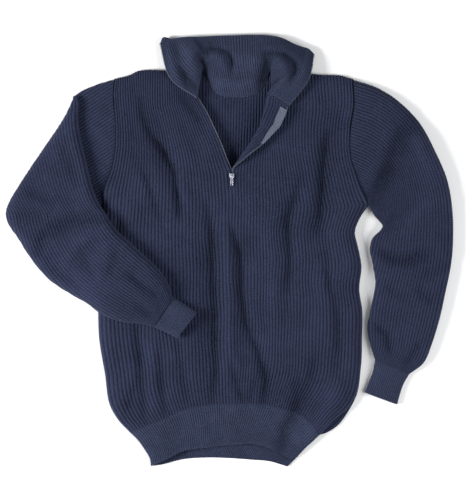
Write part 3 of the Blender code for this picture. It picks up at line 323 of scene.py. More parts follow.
# The collar's middle and top edge, by share of its way round the neck from the left
COLLAR = [
    Station(0.00, -106, 311, 18, -125, 374, 9),
    Station(0.05, -98, 325, 22, -119, 385, 8),
    Station(0.10, -84, 340, 26, -105, 382, 8),
    Station(0.15, -68, 352, 27, -88, 384, 9),
    Station(0.20, -55, 355, 27, -73, 385, 9),
    Station(0.26, -43, 350, 25, -58, 385, 9),
    Station(0.32, -30, 344, 26, -42, 386, 9),
    Station(0.38, -14, 341, 25, -24, 387, 8),
    Station(0.44, 6, 339, 22, 2, 388, 7),
    Station(0.50, 30, 339, 21, 28, 389, 7),
    Station(0.56, 50, 341, 22, 50, 389, 8),
    Station(0.62, 65, 348, 24, 68, 388, 9),
    Station(0.68, 80, 353, 26, 84, 386, 10),
    Station(0.74, 93, 349, 29, 99, 381, 11),
    Station(0.80, 104, 339, 31, 113, 374, 11),
    Station(0.87, 116, 330, 30, 128, 368, 11),
    Station(0.94, 129, 318, 27, 142, 364, 10),
    Station(1.00, 141, 308, 22, 152, 355, 9),
]
# Level direction square to the collar's seam on the turned-over front
LAPEL_ACROSS = np.array([[0.53, 0.848, 0.0]])
COLLAR_BACK_START = 0.165
COLLAR_BACK_END = 0.68
COLLAR_CLEARANCE = 0.4
COLLAR_HOLD = 0.5
COLLAR_FOLDS = [
    Fold(9, 4.0, [(-94, 368), (-88, 335), (-76, 306), (-62, 292)]),
    Fold(12, -4.0, [(-72, 366), (-66, 340), (-56, 318)]),
    Fold(9, 7.5, [(-54, 350), (-44, 330), (-46, 312), (-38, 296)]),
    Fold(7, 4.0, [(-84, 326), (-70, 300), (-56, 288)]),
    Fold(10, -4.0, [(-38, 352), (-20, 358), (0, 353)]),
    Fold(7, 6.5, [(-42, 357), (-32, 362), (-20, 363), (-6, 356), (3, 343), (4, 328)]),
    Fold(8, -3.0, [(-30, 349), (-18, 345), (-12, 335)]),
    Fold(12, -3.0, [(-28, 306), (10, 300), (52, 305)]),
    Fold(10, 3.0, [(-20, 318), (12, 312), (44, 318)]),
    Fold(11, -3.0, [(16, 345), (34, 350), (50, 345)]),
    Fold(10, 7.5, [(70, 350), (64, 330), (56, 300)]),
    Fold(12, -3.0, [(74, 362), (86, 348), (88, 325)]),
    Fold(8, 7.0, [(66, 356), (84, 357), (100, 352), (114, 339), (118, 325), (112, 309)]),
    Fold(9, -3.0, [(88, 338), (98, 328), (98, 312)]),
    Fold(5, -1.5, [(-112, 372), (-104, 335), (-88, 300)]),
    Fold(5, -1.5, [(140, 352), (132, 318)]),
]

# Height of the collar's seam over the middle of a front's neck edge below it
OVER_EDGE = WALL / 2 + RIB_HEIGHT + FLOOR_GAP + COLLAR_WALL / 2

TAPE_WIDTH = 12.0
TAPE_THICKNESS = 0.9
TAPE_LIFT = 0.6
TAPE_LIFT_LEFT = 0.75
TAPE_START_RIGHT = 0.43
TAPE_END_RIGHT = 0.95
TAPE_START_LEFT = 0.1
TAPE_END_LEFT = 0.97
TAPE_PROUD = 2.5

# Where the pull turns, how far that is over the slider, and how the pull leans
PIVOT = (4.0, 135.0, 24.486)
PIN_RISE = 1.45
PIN_RADIUS = 0.6
PIN_LENGTH = 3.5
PULL_TILT = math.radians(7)
SLIDER_WIDTH = 8.8
SLIDER_LENGTH = 9.0
SLIDER_TAPER = 0.62
EYE_PLACE = -16.5
EYE_RADIUS = 1.8
EYE_WIRE = 0.5

# Teeth of the zip, stitches and welts of yarn, each as a row of beads
BEAD_SIDES = 6
BEAD_SHOULDER = 0.28
BEAD_WAIST = 0.86
TOOTH = Bead(0.9, 2.4, 1.6, 0.45)
STITCH_BEAD = Bead(2.0, 2.4, 1.6, 1.5)
WELT_BEAD = Bead(4.0, 2.8, 2.2, 0.1)
WAIST_BEAD = Bead(2.9, 2.0, 1.5, 0.3)
LAPEL_BEAD = Bead(4.0, 3.0, 2.4, 0.1)
LAPEL_SEAM_START = 0.74

# The photograph's middle, its scale and the camera's height over the floor
PHOTO_CENTRE = (6.3, 1.35)
PHOTO_HEIGHT = 900.0
CAMERA_HEIGHT = 4000.0
GARMENT_MIDDLE = 20.0
SENSOR = 36.0


def even(count):
    return np.linspace(0.0, 1.0, count + 1)


def link(name, data):
    made = bpy.data.objects.new(name, data)
    bpy.context.scene.collection.objects.link(made)
    return made


def deselect():
    bpy.ops.object.select_all(action="DESELECT")


def settle():
    """Leaves the active object at the origin, unturned and unscaled."""
    bpy.ops.object.transform_apply(location=True, rotation=True, scale=True)


def along(points, shares, knots=None):
    """Points of a smooth line through a table's points, at shares of its length."""
    points = np.array(points, float)
    if knots is None:
        knots = shares_of(points)
    slopes = np.gradient(points, knots, axis=0)
    at = np.clip(shares, 0, 1)
    k = np.clip(np.searchsorted(knots, at, side="right") - 1, 0, len(points) - 2)
    span = (knots[k + 1] - knots[k])[:, None]
    t = (at - knots[k])[:, None] / span
    start = points[k] * (1 + 2 * t) * (1 - t) ** 2 + slopes[k] * span * t * (1 - t) ** 2
    end = points[k + 1] * t * t * (3 - 2 * t) + slopes[k + 1] * span * t * t * (t - 1)
    return start + end


def on_polyline(points, shares):
    """Points at shares of a polyline's length, on its straight runs."""
    knots = shares_of(points)
    return np.stack([np.interp(shares, knots, points[:, k]) for k in range(2)], 1)


def shares_of(points):
    lengths = np.linalg.norm(np.diff(points, axis=0), axis=1)
    return np.concatenate([[0.0], np.cumsum(lengths)]) / lengths.sum()


def offset(points, distance):
    """A plan line moved to its left by a distance."""
    run = np.gradient(np.asarray(points, float), axis=0)
    run /= np.linalg.norm(run, axis=1)[:, None]
    return points + distance * np.stack([-run[:, 1], run[:, 0]], 1)


def distance_to(points, line):
    """Distance in plan from each point to a polyline."""
    start, run = line[:-1], np.diff(line, axis=0)
    away = points[:, None, :] - start[None, :, :]
    share = np.einsum("pls,ls->pl", away, run) / (run**2).sum(1)
    away -= np.clip(share, 0, 1)[..., None] * run[None, :, :]
    return np.sqrt((away**2).sum(2)).min(1)


def inside(points, outline):
    """True for each point within a closed outline."""
    a, b = outline, np.roll(outline, -1, axis=0)
    x, y = points[:, 0, None], points[:, 1, None]
    spans = (a[:, 1] > y) != (b[:, 1] > y)
    rise = np.where(np.abs(b[:, 1] - a[:, 1]) < 1e-9, 1e-9, b[:, 1] - a[:, 1])
    crossing = a[:, 0] + (y - a[:, 1]) * (b[:, 0] - a[:, 0]) / rise
    return (spans & (x < crossing)).sum(1) % 2 == 1


def rounded(share):
    """Rises from 0 to 1 as a quarter circle."""
    share = np.clip(share, 0, 1)
    return np.sqrt(1 - (1 - share) ** 2)


def fold_depth(points, folds):
    """Depth of the folds at plan points. Each fold fades out at its ends."""
    total = np.zeros(len(points))
    for fold in folds:
        line = np.array(fold.route, float)
        run, knots = np.diff(line, axis=0), shares_of(line)
        away = points[:, None, :] - line[None, :-1, :]
        share = np.clip(np.einsum("pls,ls->pl", away, run) / (run**2).sum(1), 0, 1)
        gap = np.linalg.norm(away - share[..., None] * run, axis=2)
        near = gap.argmin(1)
        one = np.arange(len(points))
        place = knots[near] + share[one, near] * np.diff(knots)[near]
        fade = np.clip(np.sin(math.pi * (0.1 + 0.8 * place)) * 1.6, 0, 1)
        total += FOLD_GAIN * fold.depth * fade * np.exp(-((gap[one, near] / fold.width) ** 2))
    return total


def coons(bottom, top, left, right, u, v, pull=1.0):
    """A grid of plan points between four edges. A pull above 1 keeps the sides' bends
    close to them."""
    u, v = u[None, :, None], v[:, None, None]
    across = (1 - v) * bottom[None] + v * top[None]
    from_left = left[:, None] - (1 - v) * bottom[0] - v * top[0]
    from_right = right[:, None] - (1 - v) * bottom[-1] - v * top[-1]
    return across + (1 - u) ** pull * from_left + u**pull * from_right


def lift(plan, heights):
    return np.concatenate([plan, heights[..., None]], -1)


def normals(grid):
    n = np.cross(np.gradient(grid, axis=1), np.gradient(grid, axis=0))
    return n / np.linalg.norm(n, axis=2)[..., None]


def profile(phase):
    """Height of a rib, from 0 in its groove to 1 on its crest."""
    return np.abs(np.sin(math.pi * phase)) ** 0.8


def relief(phase, points):
    """Rib heights over a grid. Each rib has its own strength, which wanders a little."""
    own = 0.82 + 0.3 * np.abs(np.sin(2.7 * np.floor(phase)))
    return profile(phase) * own * (1 + 0.25 * uneven(points, 24.0, 0.4))


def uneven(points, size, seed):
    """A gentle unevenness of about -1 to 1 over plan points."""
    total = np.zeros(points.shape[:-1])
    for k in range(6):
        turn = 2.4 * k + seed
        wave = 2 * math.pi / (size * (0.7 + 0.2 * k))
        across = points[..., 0] * math.cos(turn) + points[..., 1] * math.sin(turn)
        total += np.sin(across * wave + 1.7 * k * seed)
    return total / 3


def smooth(values, places):
    """Values between the rows of an array, on smooth curves through them."""
    slopes = np.gradient(values, axis=0)
    k = np.clip(places.astype(int), 0, len(values) - 2)
    t = (places - k).reshape(-1, *[1] * (values.ndim - 1))
    start = values[k] * (1 + 2 * t) * (1 - t) ** 2 + slopes[k] * t * (1 - t) ** 2
    end = values[k + 1] * t * t * (3 - 2 * t) + slopes[k + 1] * t * t * (t - 1)
    return start + end


def every(step, count):
    return sorted(set(range(0, count, step)) | {count - 1})


def quads(grid):
    corners = (grid[:-1, :-1], grid[:-1, 1:], grid[1:, 1:], grid[1:, :-1])
    return np.stack(corners, -1).reshape(-1, 4).tolist()


def zip_faces(fine, coarse, columns):
    """Triangles between a row of all columns and a row of the listed ones."""
    faces = []
    for a, b in zip(columns[:-1], columns[1:]):
        middle = (a + b) // 2
        faces += [(fine[c], fine[c + 1], coarse[a]) for c in range(a, middle)]
        faces.append((coarse[a], fine[middle], coarse[b]))
        faces += [(fine[c], fine[c + 1], coarse[b]) for c in range(middle, b)]
    return faces


def patch_faces(patch, start):
    """Faces of one patch, whose outer points come first, then its inner ones."""
    rows, count = patch.outer.shape[:2]
    outer = start + np.arange(rows * count).reshape(rows, count)
    inner = outer + rows * count
    columns = list(patch.columns)
    if patch.closed:
        outer = np.concatenate([outer, outer[:, :1]], 1)
        inner = np.concatenate([inner, inner[:, :1]], 1)
        columns.append(count)
    faces = quads(outer) + quads(inner[:, columns[::-1]])
    for side, name in ((0, "left"), (-1, "right")):
        if name in patch.rims:
            faces += quads(np.stack([outer[:, side], inner[:, side]], 1))
    for row, name in ((0, "bottom"), (-1, "top")):
        if name in patch.rims:
            faces += zip_faces(outer[row], inner[row], columns)
    return faces


def add_wall(name, patches, finish, folds=()):
    """One closed piece from patches that share their joining points. Its attribute holds
    painted shade from the folds: the fold depth at each point, which darkens the colour in troughs
    and lightens it on ridges."""
    points, knits, faces = [], [], []
    for patch in patches:
        faces += patch_faces(patch, sum(len(p) for p in points))
        points += [patch.outer.reshape(-1, 3), patch.inner.reshape(-1, 3)]
        knits += [patch.knit.reshape(-1, 2)] * 2
    mesh = bpy.data.meshes.new(name)
    corners = np.concatenate(points) * METRE
    mesh.from_pydata(corners.tolist(), [], [tuple(int(k) for k in f) for f in faces])
    ends = np.zeros(len(mesh.loops), int)
    mesh.loops.foreach_get("vertex_index", ends)
    layer = mesh.uv_layers.new(name="knit")
    layer.uv.foreach_set("vector", np.concatenate(knits)[ends].reshape(-1))
    # Painted shade: fold depth stored per point, which the knit's colour turns darker in troughs
    # and lighter on ridges
    fold_shade_layer = mesh.attributes.new("painted_fold_shade", "FLOAT", "POINT")
    fold_shade_layer.data.foreach_set("value", fold_depth(corners[:, :2] / METRE, folds) / FOLD_SHADE)
    work = bmesh.new()
    work.from_mesh(mesh)
    loose = [v for v in work.verts if not v.link_faces]
    bmesh.ops.delete(work, geom=loose, context="VERTS")
    bmesh.ops.remove_doubles(work, verts=work.verts, dist=MERGE)
    bmesh.ops.recalc_face_normals(work, faces=work.faces)
    work.to_mesh(mesh)
    work.free()
    mesh.shade_smooth()
    mesh.set_sharp_from_angle(angle=SHARP_EDGE)
    mesh.materials.append(finish)
    return link(name, mesh)


def courses(grid, pitch=COURSE):
    """Rows of stitches from the first row of a grid to each of its points."""
    steps = np.linalg.norm(np.diff(grid, axis=0), axis=2).mean(1)
    run = np.concatenate([[0.0], np.cumsum(steps)]) / pitch
    return np.repeat(run[:, None], grid.shape[1], 1)


def area(grid):
    """Area of a grid's surface, in square metres."""
    side = np.cross(grid[1:, :-1] - grid[:-1, :-1], grid[:-1, 1:] - grid[:-1, :-1])
    return float(np.linalg.norm(side, axis=-1).sum()) * METRE**2


# Lines that several pieces share
ARM_LEFT_LOW = along(ARMHOLE_LEFT, ARMHOLE_SPLIT * even(ARMHOLE_LOW_ROWS))
ARM_RIGHT_LOW = along(ARMHOLE_RIGHT, ARMHOLE_SPLIT * even(ARMHOLE_LOW_ROWS))
HIGH_SHARES = ARMHOLE_SPLIT + (1 - ARMHOLE_SPLIT) * even(ARMHOLE_ROWS)
ARM_LEFT_HIGH = along(ARMHOLE_LEFT, HIGH_SHARES)
ARM_RIGHT_HIGH = along(ARMHOLE_RIGHT, HIGH_SHARES)
ARM_LEFT = np.concatenate([ARM_LEFT_LOW[:-1], ARM_LEFT_HIGH])
ARM_RIGHT = np.concatenate([ARM_RIGHT_LOW[:-1], ARM_RIGHT_HIGH])
SIDE_LINE_LEFT = along(SIDE_LEFT, even(40))
SIDE_LINE_RIGHT = along(SIDE_RIGHT, even(40))
SHOULDER_LINE_LEFT = along(SHOULDER_LEFT, even(20))
SHOULDER_LINE_RIGHT = along(SHOULDER_RIGHT, even(20))
BAND_LINE_LEFT = along(BAND_LEFT, even(10))
BAND_LINE_RIGHT = along(BAND_RIGHT, even(10))
ROLL = np.array(ROLL_LINE, float)
FRONT_OUTLINE = np.concatenate(
    [
        along(WAIST_SEAM, even(30))[:-1],
        SIDE_LINE_RIGHT[:-1],
        ARM_RIGHT[:-1],
        SHOULDER_LINE_RIGHT[::-1][:-1],
        ROLL[::-1, ::-1],
        along(ZIP_EDGE_LEFT, even(12)),
        along(NECK_LEFT, even(4)),
        SHOULDER_LINE_LEFT[::-1],
        ARM_LEFT[::-1],
        SIDE_LINE_LEFT[::-1],
    ]
)


def body_height(points):
    """Height of the front's plain top over the floor."""
    crowns = np.array(BODY_CROWNS, float)
    crown = np.interp(points[:, 1], crowns[:, 0], crowns[:, 1])
    edges = [
        SIDE_LINE_LEFT, SIDE_LINE_RIGHT, SHOULDER_LINE_LEFT, SHOULDER_LINE_RIGHT,
        BAND_LINE_LEFT, BAND_LINE_RIGHT,
    ]
    away = np.min([distance_to(points, edge) for edge in edges], axis=0)
    low = FRONT_EDGE + WALL / 2
    puff = rounded(away / BODY_ROUND)
    folds = fold_depth(points, BODY_FOLDS) + 0.7 * uneven(points, 55.0, 1.3)
    return low + (crown - low) * puff - folds * puff


def body_grid(plan):
    """The front's middle surface over a grid of plan points."""
    top = body_height(plan.reshape(-1, 2)).reshape(plan.shape[:2])
    return lift(plan, top - WALL / 2)


def rolled(plan):
    """The right front's middle surface, with what lies past the roll turned over."""
    line = np.interp(plan[..., 1], ROLL[:, 0], ROLL[:, 1])
    past = np.clip(line - plan[..., 0], 0, None)
    turn = np.clip(past / LAPEL_RADIUS, 0, math.pi)
    x = np.where(past > 0, line - LAPEL_RADIUS * np.sin(turn), plan[..., 0])
    x += np.clip(past - math.pi * LAPEL_RADIUS, 0, None)
    grid = body_grid(np.stack([x, plan[..., 1]], -1))
    grid[..., 2] += LAPEL_RADIUS * (1 - np.cos(turn))
    return grid


def row_places(left, right):
    lengths = np.linalg.norm(np.diff(left, axis=0), axis=1)
    lengths = lengths + np.linalg.norm(np.diff(right, axis=0), axis=1)
    return np.concatenate([[0.0], np.cumsum(lengths)]) / lengths.sum()


def stray(plan, strength):
    """Ribs wander a little from their straight way between a grid's edges."""
    rows, count = plan.shape[:2]
    hold = np.outer(np.sin(math.pi * even(rows - 1)), np.sin(math.pi * even(count - 1)))
    plan[..., 0] += strength * uneven(plan, 75.0, 0.6) * np.sqrt(np.clip(hold, 0, 1))
    return plan


def ease(low, high):
    """Evens out the ribs' turn where two grids of plan points meet."""
    row = len(low) - 1
    plan = np.concatenate([low, high[1:]])
    even_plan = plan.copy()
    for _ in range(90):
        even_plan[1:-1] = (even_plan[:-2] + 2 * even_plan[1:-1] + even_plan[2:]) / 4
    near = np.exp(-(((np.arange(len(plan)) - row) / 13) ** 2))
    held = np.sqrt(np.clip(np.sin(math.pi * even(plan.shape[1] - 1)), 0, 1))
    plan += (even_plan - plan) * np.outer(near, held)[..., None]
    return plan[: row + 1], plan[row:]


def front_grids():
    """The front's middle surface: below the zip, left of it and right of it."""
    left_count, right_count = STEPS * RIBS_LEFT, STEPS * RIBS_RIGHT
    u = np.concatenate([0.5 * even(left_count), 0.5 + 0.5 * even(right_count)[1:]])
    seam = along(WAIST_SEAM, np.interp(u, [0, 0.5, 1], [0, SLIDER_SHARE, 1]))
    row_left = along([ARM_LEFT_LOW[-1], *SLIDER_ROW_LEFT, SLIT_END], even(left_count))
    row_right = along([SLIT_END, *SLIDER_ROW_RIGHT, ARM_RIGHT_LOW[-1]], even(right_count))
    row = np.concatenate([row_left, row_right[1:]])
    left = np.concatenate([along(SIDE_LEFT, even(SIDE_ROWS)), ARM_LEFT_LOW[1:]])
    right = np.concatenate([along(SIDE_RIGHT, even(SIDE_ROWS)), ARM_RIGHT_LOW[1:]])
    lower = coons(seam, row, left, right, u, row_places(left, right), SIDE_PULL)

    slit_left = np.concatenate(
        [
            along(ZIP_EDGE_LEFT, even(ARMHOLE_ROWS * 2 // 3)),
            along(NECK_LEFT, even(ARMHOLE_ROWS - ARMHOLE_ROWS * 2 // 3))[1:],
        ]
    )
    upper_left = coons(
        row_left, along(SHOULDER_LEFT, even(left_count)), ARM_LEFT_HIGH, slit_left,
        even(left_count), even(ARMHOLE_ROWS), CHEST_PULL,
    )
    neck_count = STEPS * RIBS_NECK_RIGHT
    shoulder = along(SHOULDER_RIGHT, even(right_count - neck_count))
    top = np.concatenate([along(NECK_RIGHT, even(neck_count)), shoulder[1:]])
    upper_right = coons(
        row_right, top, along(SLIT_RIGHT, even(ARMHOLE_ROWS)), ARM_RIGHT_HIGH,
        even(right_count), even(ARMHOLE_ROWS),
    )
    low_left, upper_left = ease(lower[:, : left_count + 1], upper_left)
    low_right, upper_right = ease(lower[:, left_count:], upper_right)
    lower = np.concatenate([low_left, low_right[:, 1:]], 1)
    return (
        body_grid(stray(lower, 1.7)), body_grid(stray(upper_left, 1.4)),
        rolled(stray(upper_right, 0.9)),
    )


def walls(grid, thickness, phase, height, back_height=0.0):
    """Outer points with ribs and inner points, each side of a middle surface."""
    direction = normals(grid)
    rib = relief(phase, grid)
    outer = grid + direction * (thickness / 2 + height * rib)[..., None]
    inner = grid - direction * (thickness / 2 + back_height * rib)[..., None]
    return outer, inner


def front_patches():
    """The front's patches, with ribs on the inside too where it is turned over."""
    lower, upper_left, upper_right = front_grids()
    left_count, total = STEPS * RIBS_LEFT, lower.shape[1]
    turned = STEPS * RIBS_NECK_RIGHT
    phase = np.arange(total) / STEPS
    low = walls(lower, WALL, phase, RIB_HEIGHT)
    left = walls(upper_left, WALL, phase[: left_count + 1], RIB_HEIGHT)
    away = np.linalg.norm(np.cumsum(np.diff(upper_right, axis=1), axis=1), axis=2)
    away = np.concatenate([np.zeros((len(away), 1)), away], 1)
    covered = tape_reach(even(len(away) - 1))[:, None]
    fade = np.clip((away - covered) / 3, 0, 1)
    fade *= np.minimum(1, even(len(away) - 1) * 8)[:, None]
    fade *= np.arange(upper_right.shape[1]) <= turned
    right = walls(upper_right, WALL, phase[left_count:], RIB_HEIGHT, RIB_HEIGHT * fade)
    on_left, on_right = slice(0, left_count + 1), slice(left_count, None)
    for new, part in ((left, on_left), (right, on_right)):
        new[0][0] = low[0][-1, part]
        new[1][0] = low[1][-1, part]
    columns_left = every(STEPS, left_count + 1)
    columns_right = sorted(
        set(range(turned + 1)) | set(every(STEPS, total - left_count))
    )
    shared = columns_left + [left_count + k for k in columns_right[1:]]
    phases = np.repeat(phase[None], len(lower), 0)
    rows = courses(lower)
    patches = [
        Patch(*low, np.stack([phases, rows], -1), shared, {"left", "right", "bottom"}, False)
    ]
    for made, grid, part, columns in (
        (left, upper_left, on_left, columns_left), (right, upper_right, on_right, columns_right),
    ):
        phases = np.repeat(phase[None, part], len(grid), 0)
        knit = np.stack([phases, rows[-1, 0] + courses(grid)], -1)
        patches.append(Patch(*made, knit, columns, {"left", "right", "top"}, False))
    sheet_area = area(lower) + area(upper_left) + area(upper_right)
    return patches, (lower, upper_left, upper_right), sheet_area


def flat_patch(plan, phase, height, columns):
    """A layer that lies flat on the floor, with ribs on its top."""
    grid = lift(plan, np.zeros(plan.shape[:2]))
    knit = np.stack([phase, courses(grid)], -1)
    return Patch(lift(plan, WALL + height * profile(phase)), grid, knit, columns, ALL_RIMS, False)


def back_patch():
    """The back lies flat. Its inside shows ribs in the neck opening."""
    left = np.concatenate([along(SIDE_LEFT, even(SIDE_ROWS)), ARM_LEFT[1:]])
    right = np.concatenate([along(BACK_SIDE_RIGHT, even(SIDE_ROWS)), ARM_RIGHT[1:]])
    side, neck = BACK_SIDE_COLUMNS, STEPS * RIBS_NECK_BACK
    low, high = BACK_NECK
    shares = np.concatenate(
        [low * even(side)[:-1], low + (high - low) * even(neck), high + (1 - high) * even(side)[1:]]
    )
    fine = along(NECK_BACK, even(200))
    across = fine[0, 0] + (fine[-1, 0] - fine[0, 0]) * even(neck)
    curve = along(NECK_BACK, np.interp(across, fine[:, 0], even(200)))
    top = np.concatenate(
        [along(SHOULDER_LEFT, even(side)), curve[1:], along(SHOULDER_RIGHT, even(side))[1:]]
    )
    seam = offset(along(WAIST_SEAM, shares), 0.1)
    left[0], right[0] = seam[0], seam[-1]
    plan = coons(seam, top, left, right, shares, row_places(left, right), SIDE_PULL)
    plain, row = np.arange(side), np.arange(len(plan))
    ribs = np.concatenate([plain - side, np.arange(neck + 1) / STEPS, RIBS_NECK_BACK + 1 + plain])
    fade = np.clip((row - SIDE_ROWS) / BACK_RIB_FADE, 0, 1)
    fade *= np.minimum(1, (len(plan) - 1 - row) / 2)
    columns = [*plain, *range(side, side + neck, STEPS), *range(side + neck, len(ribs))]
    phase = np.repeat(ribs[None], len(plan), 0)
    return flat_patch(plan, phase, BACK_RIB_HEIGHT * fade[:, None], columns)


def fine_phase(count, rows):
    """Ribs across a fine-rib grid, one whole number for each groove."""
    return np.repeat(np.arange(count + 1)[None] / FINE_STEPS, rows + 1, 0)


def fine_patch(grid, thickness, count, rows, least):
    """A fine-rib wall, its ribs lower at its first and last rows."""
    phase = fine_phase(count, rows)
    near = np.minimum(even(rows), 1 - even(rows))[:, None] * rows / 2
    outer, inner = walls(grid, thickness, phase, FINE_HEIGHT * np.clip(near, least, 1))
    knit = np.stack([phase, courses(grid)], -1)
    return Patch(outer, inner, knit, every(FINE_STEPS, count + 1), ALL_RIMS, False)


def band_front_patch():
    count, rows = FINE_STEPS * RIBS_BAND, BAND_ROWS
    seam = offset(along(WAIST_SEAM, even(count)), -SEAM_GAP)
    left = along(BAND_LEFT, even(rows))[::-1]
    right = along(BAND_RIGHT, even(rows))[::-1]
    left[-1], right[-1] = seam[0], seam[-1]
    plan = coons(along(HEM_FRONT, even(count)), seam, left, right, even(count), even(rows))
    grid = body_grid(stray(plan, 0.6))
    return fine_patch(grid, WALL, count, rows, 0.25), grid


def band_back_patch():
    """The back of the waistband lies flat, with ribs inside its hem."""
    count, rows = FINE_STEPS * RIBS_BAND, BAND_BACK_ROWS
    seam = offset(along(WAIST_SEAM, even(count)), -SEAM_GAP)[::-1]
    left, right = along(BAND_LEFT, even(rows)), along(BAND_RIGHT_BACK, even(rows))
    hem = along(HEM_BACK, even(count))[::-1]
    left[0], right[0] = seam[-1], seam[0]
    plan = coons(seam, hem, right, left, even(count), even(rows))
    fade = np.clip((even(rows) - 0.5) * 5, 0, 1)[:, None]
    columns = every(FINE_STEPS, count + 1)
    return flat_patch(plan, fine_phase(count, rows), FINE_HEIGHT * fade, columns)


def spread(count):
    """Shares across a sleeve, closer together near its edges."""
    share = even(count)
    return 0.6 * share + 0.4 * (0.5 - 0.5 * np.cos(math.pi * share))


def charted(height, low, high, step=6.0, softening=24):
    """A height worked out on a coarse chart, as readers of it and of a softened copy."""
    xs, ys = np.arange(low[0], high[0] + step, step), np.arange(low[1], high[1] + step, step)
    places = np.stack(np.meshgrid(xs, ys, indexing="ij"), -1).reshape(-1, 2)
    chart = height(places).reshape(len(xs), len(ys))
    soft = chart
    for _ in range(softening):
        wide = np.pad(soft, 1, mode="edge")
        wide = wide[:-2] + 2 * wide[1:-1] + wide[2:]
        soft = (wide[:, :-2] + 2 * wide[:, 1:-1] + wide[:, 2:]) / 16

    def reader(chart):
        def read(points):
            x = np.clip((points[:, 0] - xs[0]) / step, 0, len(xs) - 1.001)
            y = np.clip((points[:, 1] - ys[0]) / step, 0, len(ys) - 1.001)
            i, j = x.astype(int), y.astype(int)
            a, b = x - i, y - j
            near = chart[i, j] * (1 - b) + chart[i, j + 1] * b
            far = chart[i + 1, j] * (1 - b) + chart[i + 1, j + 1] * b
            return near * (1 - a) + far * a

        return read

    return reader(chart), reader(soft)


def floor_under(points):
    return np.zeros(len(points))


def swelling(shares, width):
    """How far a sleeve's top has risen, from 0 at its edges to 1 in its middle."""
    away = np.minimum(shares, 1 - shares) * width
    round_part = min(SLEEVE_ROUND, width / 3)
    return 0.8 * rounded(away / round_part) + 0.2 * np.sin(math.pi * shares)


def sleeve_rise(plan, shares, width, crown):
    """Height of a sleeve's top over its underside, with its folds."""
    swell = swelling(shares, width)
    dent = fold_depth(plan, SLEEVE_FOLDS) + 0.7 * uneven(plan, 50.0, 2.1)
    dent *= swell
    return np.maximum(crown * swell - dent, crown * swell * LEAST_RISE)


def tube_patch(lines, crowns, columns, phase_of, height, under=(floor_under, floor_under)):
    """A sleeve. Each of its lines turns shares across it into plan points."""
    below, softly = under
    top_shares = spread(columns)
    shares = np.concatenate([top_shares, even(UNDERSIDE_COLUMNS)[-2:0:-1]])
    tops = np.arange(len(shares)) < len(top_shares)
    outer_rows, inner_rows, phases, edge_room = [], [], [], []
    for row, (line, crown) in enumerate(zip(lines, crowns)):
        width = np.linalg.norm(line(np.array([0.0])) - line(np.array([1.0])))
        inset = min(WALL / width, 0.4)
        faces = []
        for places, wall in ((shares, WALL), (inset + shares * (1 - 2 * inset), 0.0)):
            plan = line(places)
            base = below(plan)
            swell = swelling(places, width)
            rise = sleeve_rise(plan, places, width, crown) + (softly(plan) - base) * swell
            rise = np.maximum(rise, LEAST_RISE * crown * swell)
            faces.append((plan, base, base + wall + rise))
        (plan, base, high), (plan_in, base_in, high_in) = faces
        high_in = np.maximum(high_in, base_in + WALL + LEAST_HOLLOW)
        outer_rows.append(lift(plan, np.where(tops, high, base)))
        inner_rows.append(lift(plan_in, np.where(tops, high_in, base_in + WALL)))
        phases.append(phase_of(plan, shares, width, row / (len(lines) - 1)))
        edge_room.append(np.minimum(shares, 1 - shares) * width)
    outer, inner, phase = np.array(outer_rows), np.array(inner_rows), np.array(phases)
    count = len(top_shares)
    direction = normals(outer[:, :count])
    direction *= np.where(direction[..., 2:] < 0, -1.0, 1.0)
    rib = relief(phase[:, :count], outer[:, :count])
    rib *= np.clip(np.array(edge_room)[:, :count] / WALL, 0.6, 1)
    outer[:, :count] += direction * (height * rib)[..., None]
    columns = every(INSIDE_STEP, count) + list(range(count, len(shares)))
    knit = np.stack([phase, courses(outer)], -1)
    return Patch(outer, inner, knit, columns, {"top", "bottom"}, True)


def resting_on(outline, height, clearance):
    """The height that an underside needs to pass over a piece."""

    def under(points):
        best = np.zeros(len(points))
        for reach, share in SOFT_REACHES:
            for turn in np.linspace(0, 2 * math.pi, RING_TURNS)[: -1 if reach else 1]:
                near = points + reach * np.array([math.cos(turn), math.sin(turn)])
                need = np.where(inside(near, outline), share * (height(near) + clearance), 0.0)
                best = np.maximum(best, need)
        return best

    return under


def under_left_arm():
    """Height under the folded left sleeve: the floor, its own top or the body."""
    cap = np.concatenate([along(TUCK_LINE, even(12)), ARM_LEFT, along(CAP_EDGE, even(3))])
    cap_top = WALL + CAP_CROWNS[-1] + RIB_HEIGHT
    over_cap = resting_on(cap, lambda p: np.full(len(p), cap_top), CAP_CLEARANCE)
    over_body = resting_on(FRONT_OUTLINE, lambda p: body_height(p) + RIB_HEIGHT, BODY_CLEARANCE)
    cuff, elbow = LEFT_CUFF[-1], LEFT_ARM[ABOVE_ELBOW]
    low = (elbow.outer_x - CHART_MARGIN, cuff.outer_y - CHART_MARGIN)
    high = (cuff.inner_x + CHART_MARGIN, LEFT_ARM[0].outer_y + CHART_MARGIN)
    return charted(lambda points: np.maximum(over_cap(points), over_body(points)), low, high)


def finer(sections, steps):
    """Sections between those of a table, on smooth curves through them."""
    rows = smooth(np.array(sections, float), np.linspace(0, len(sections) - 1, steps + 1))
    return [Section(*row) for row in rows]


def straight(section):
    start = np.array([section.outer_x, section.outer_y], float)
    end = np.array([section.inner_x, section.inner_y], float)
    return lambda shares: start + np.outer(shares, end - start)


def gathered(share, start):
    """Rib spacing at a share of a sleeve's length, narrowing towards its cuff."""
    near = np.clip((share - start) / (1 - start), 0, 1) ** 1.5
    return SLEEVE_PITCH + (CUFF_END_PITCH - SLEEVE_PITCH) * near


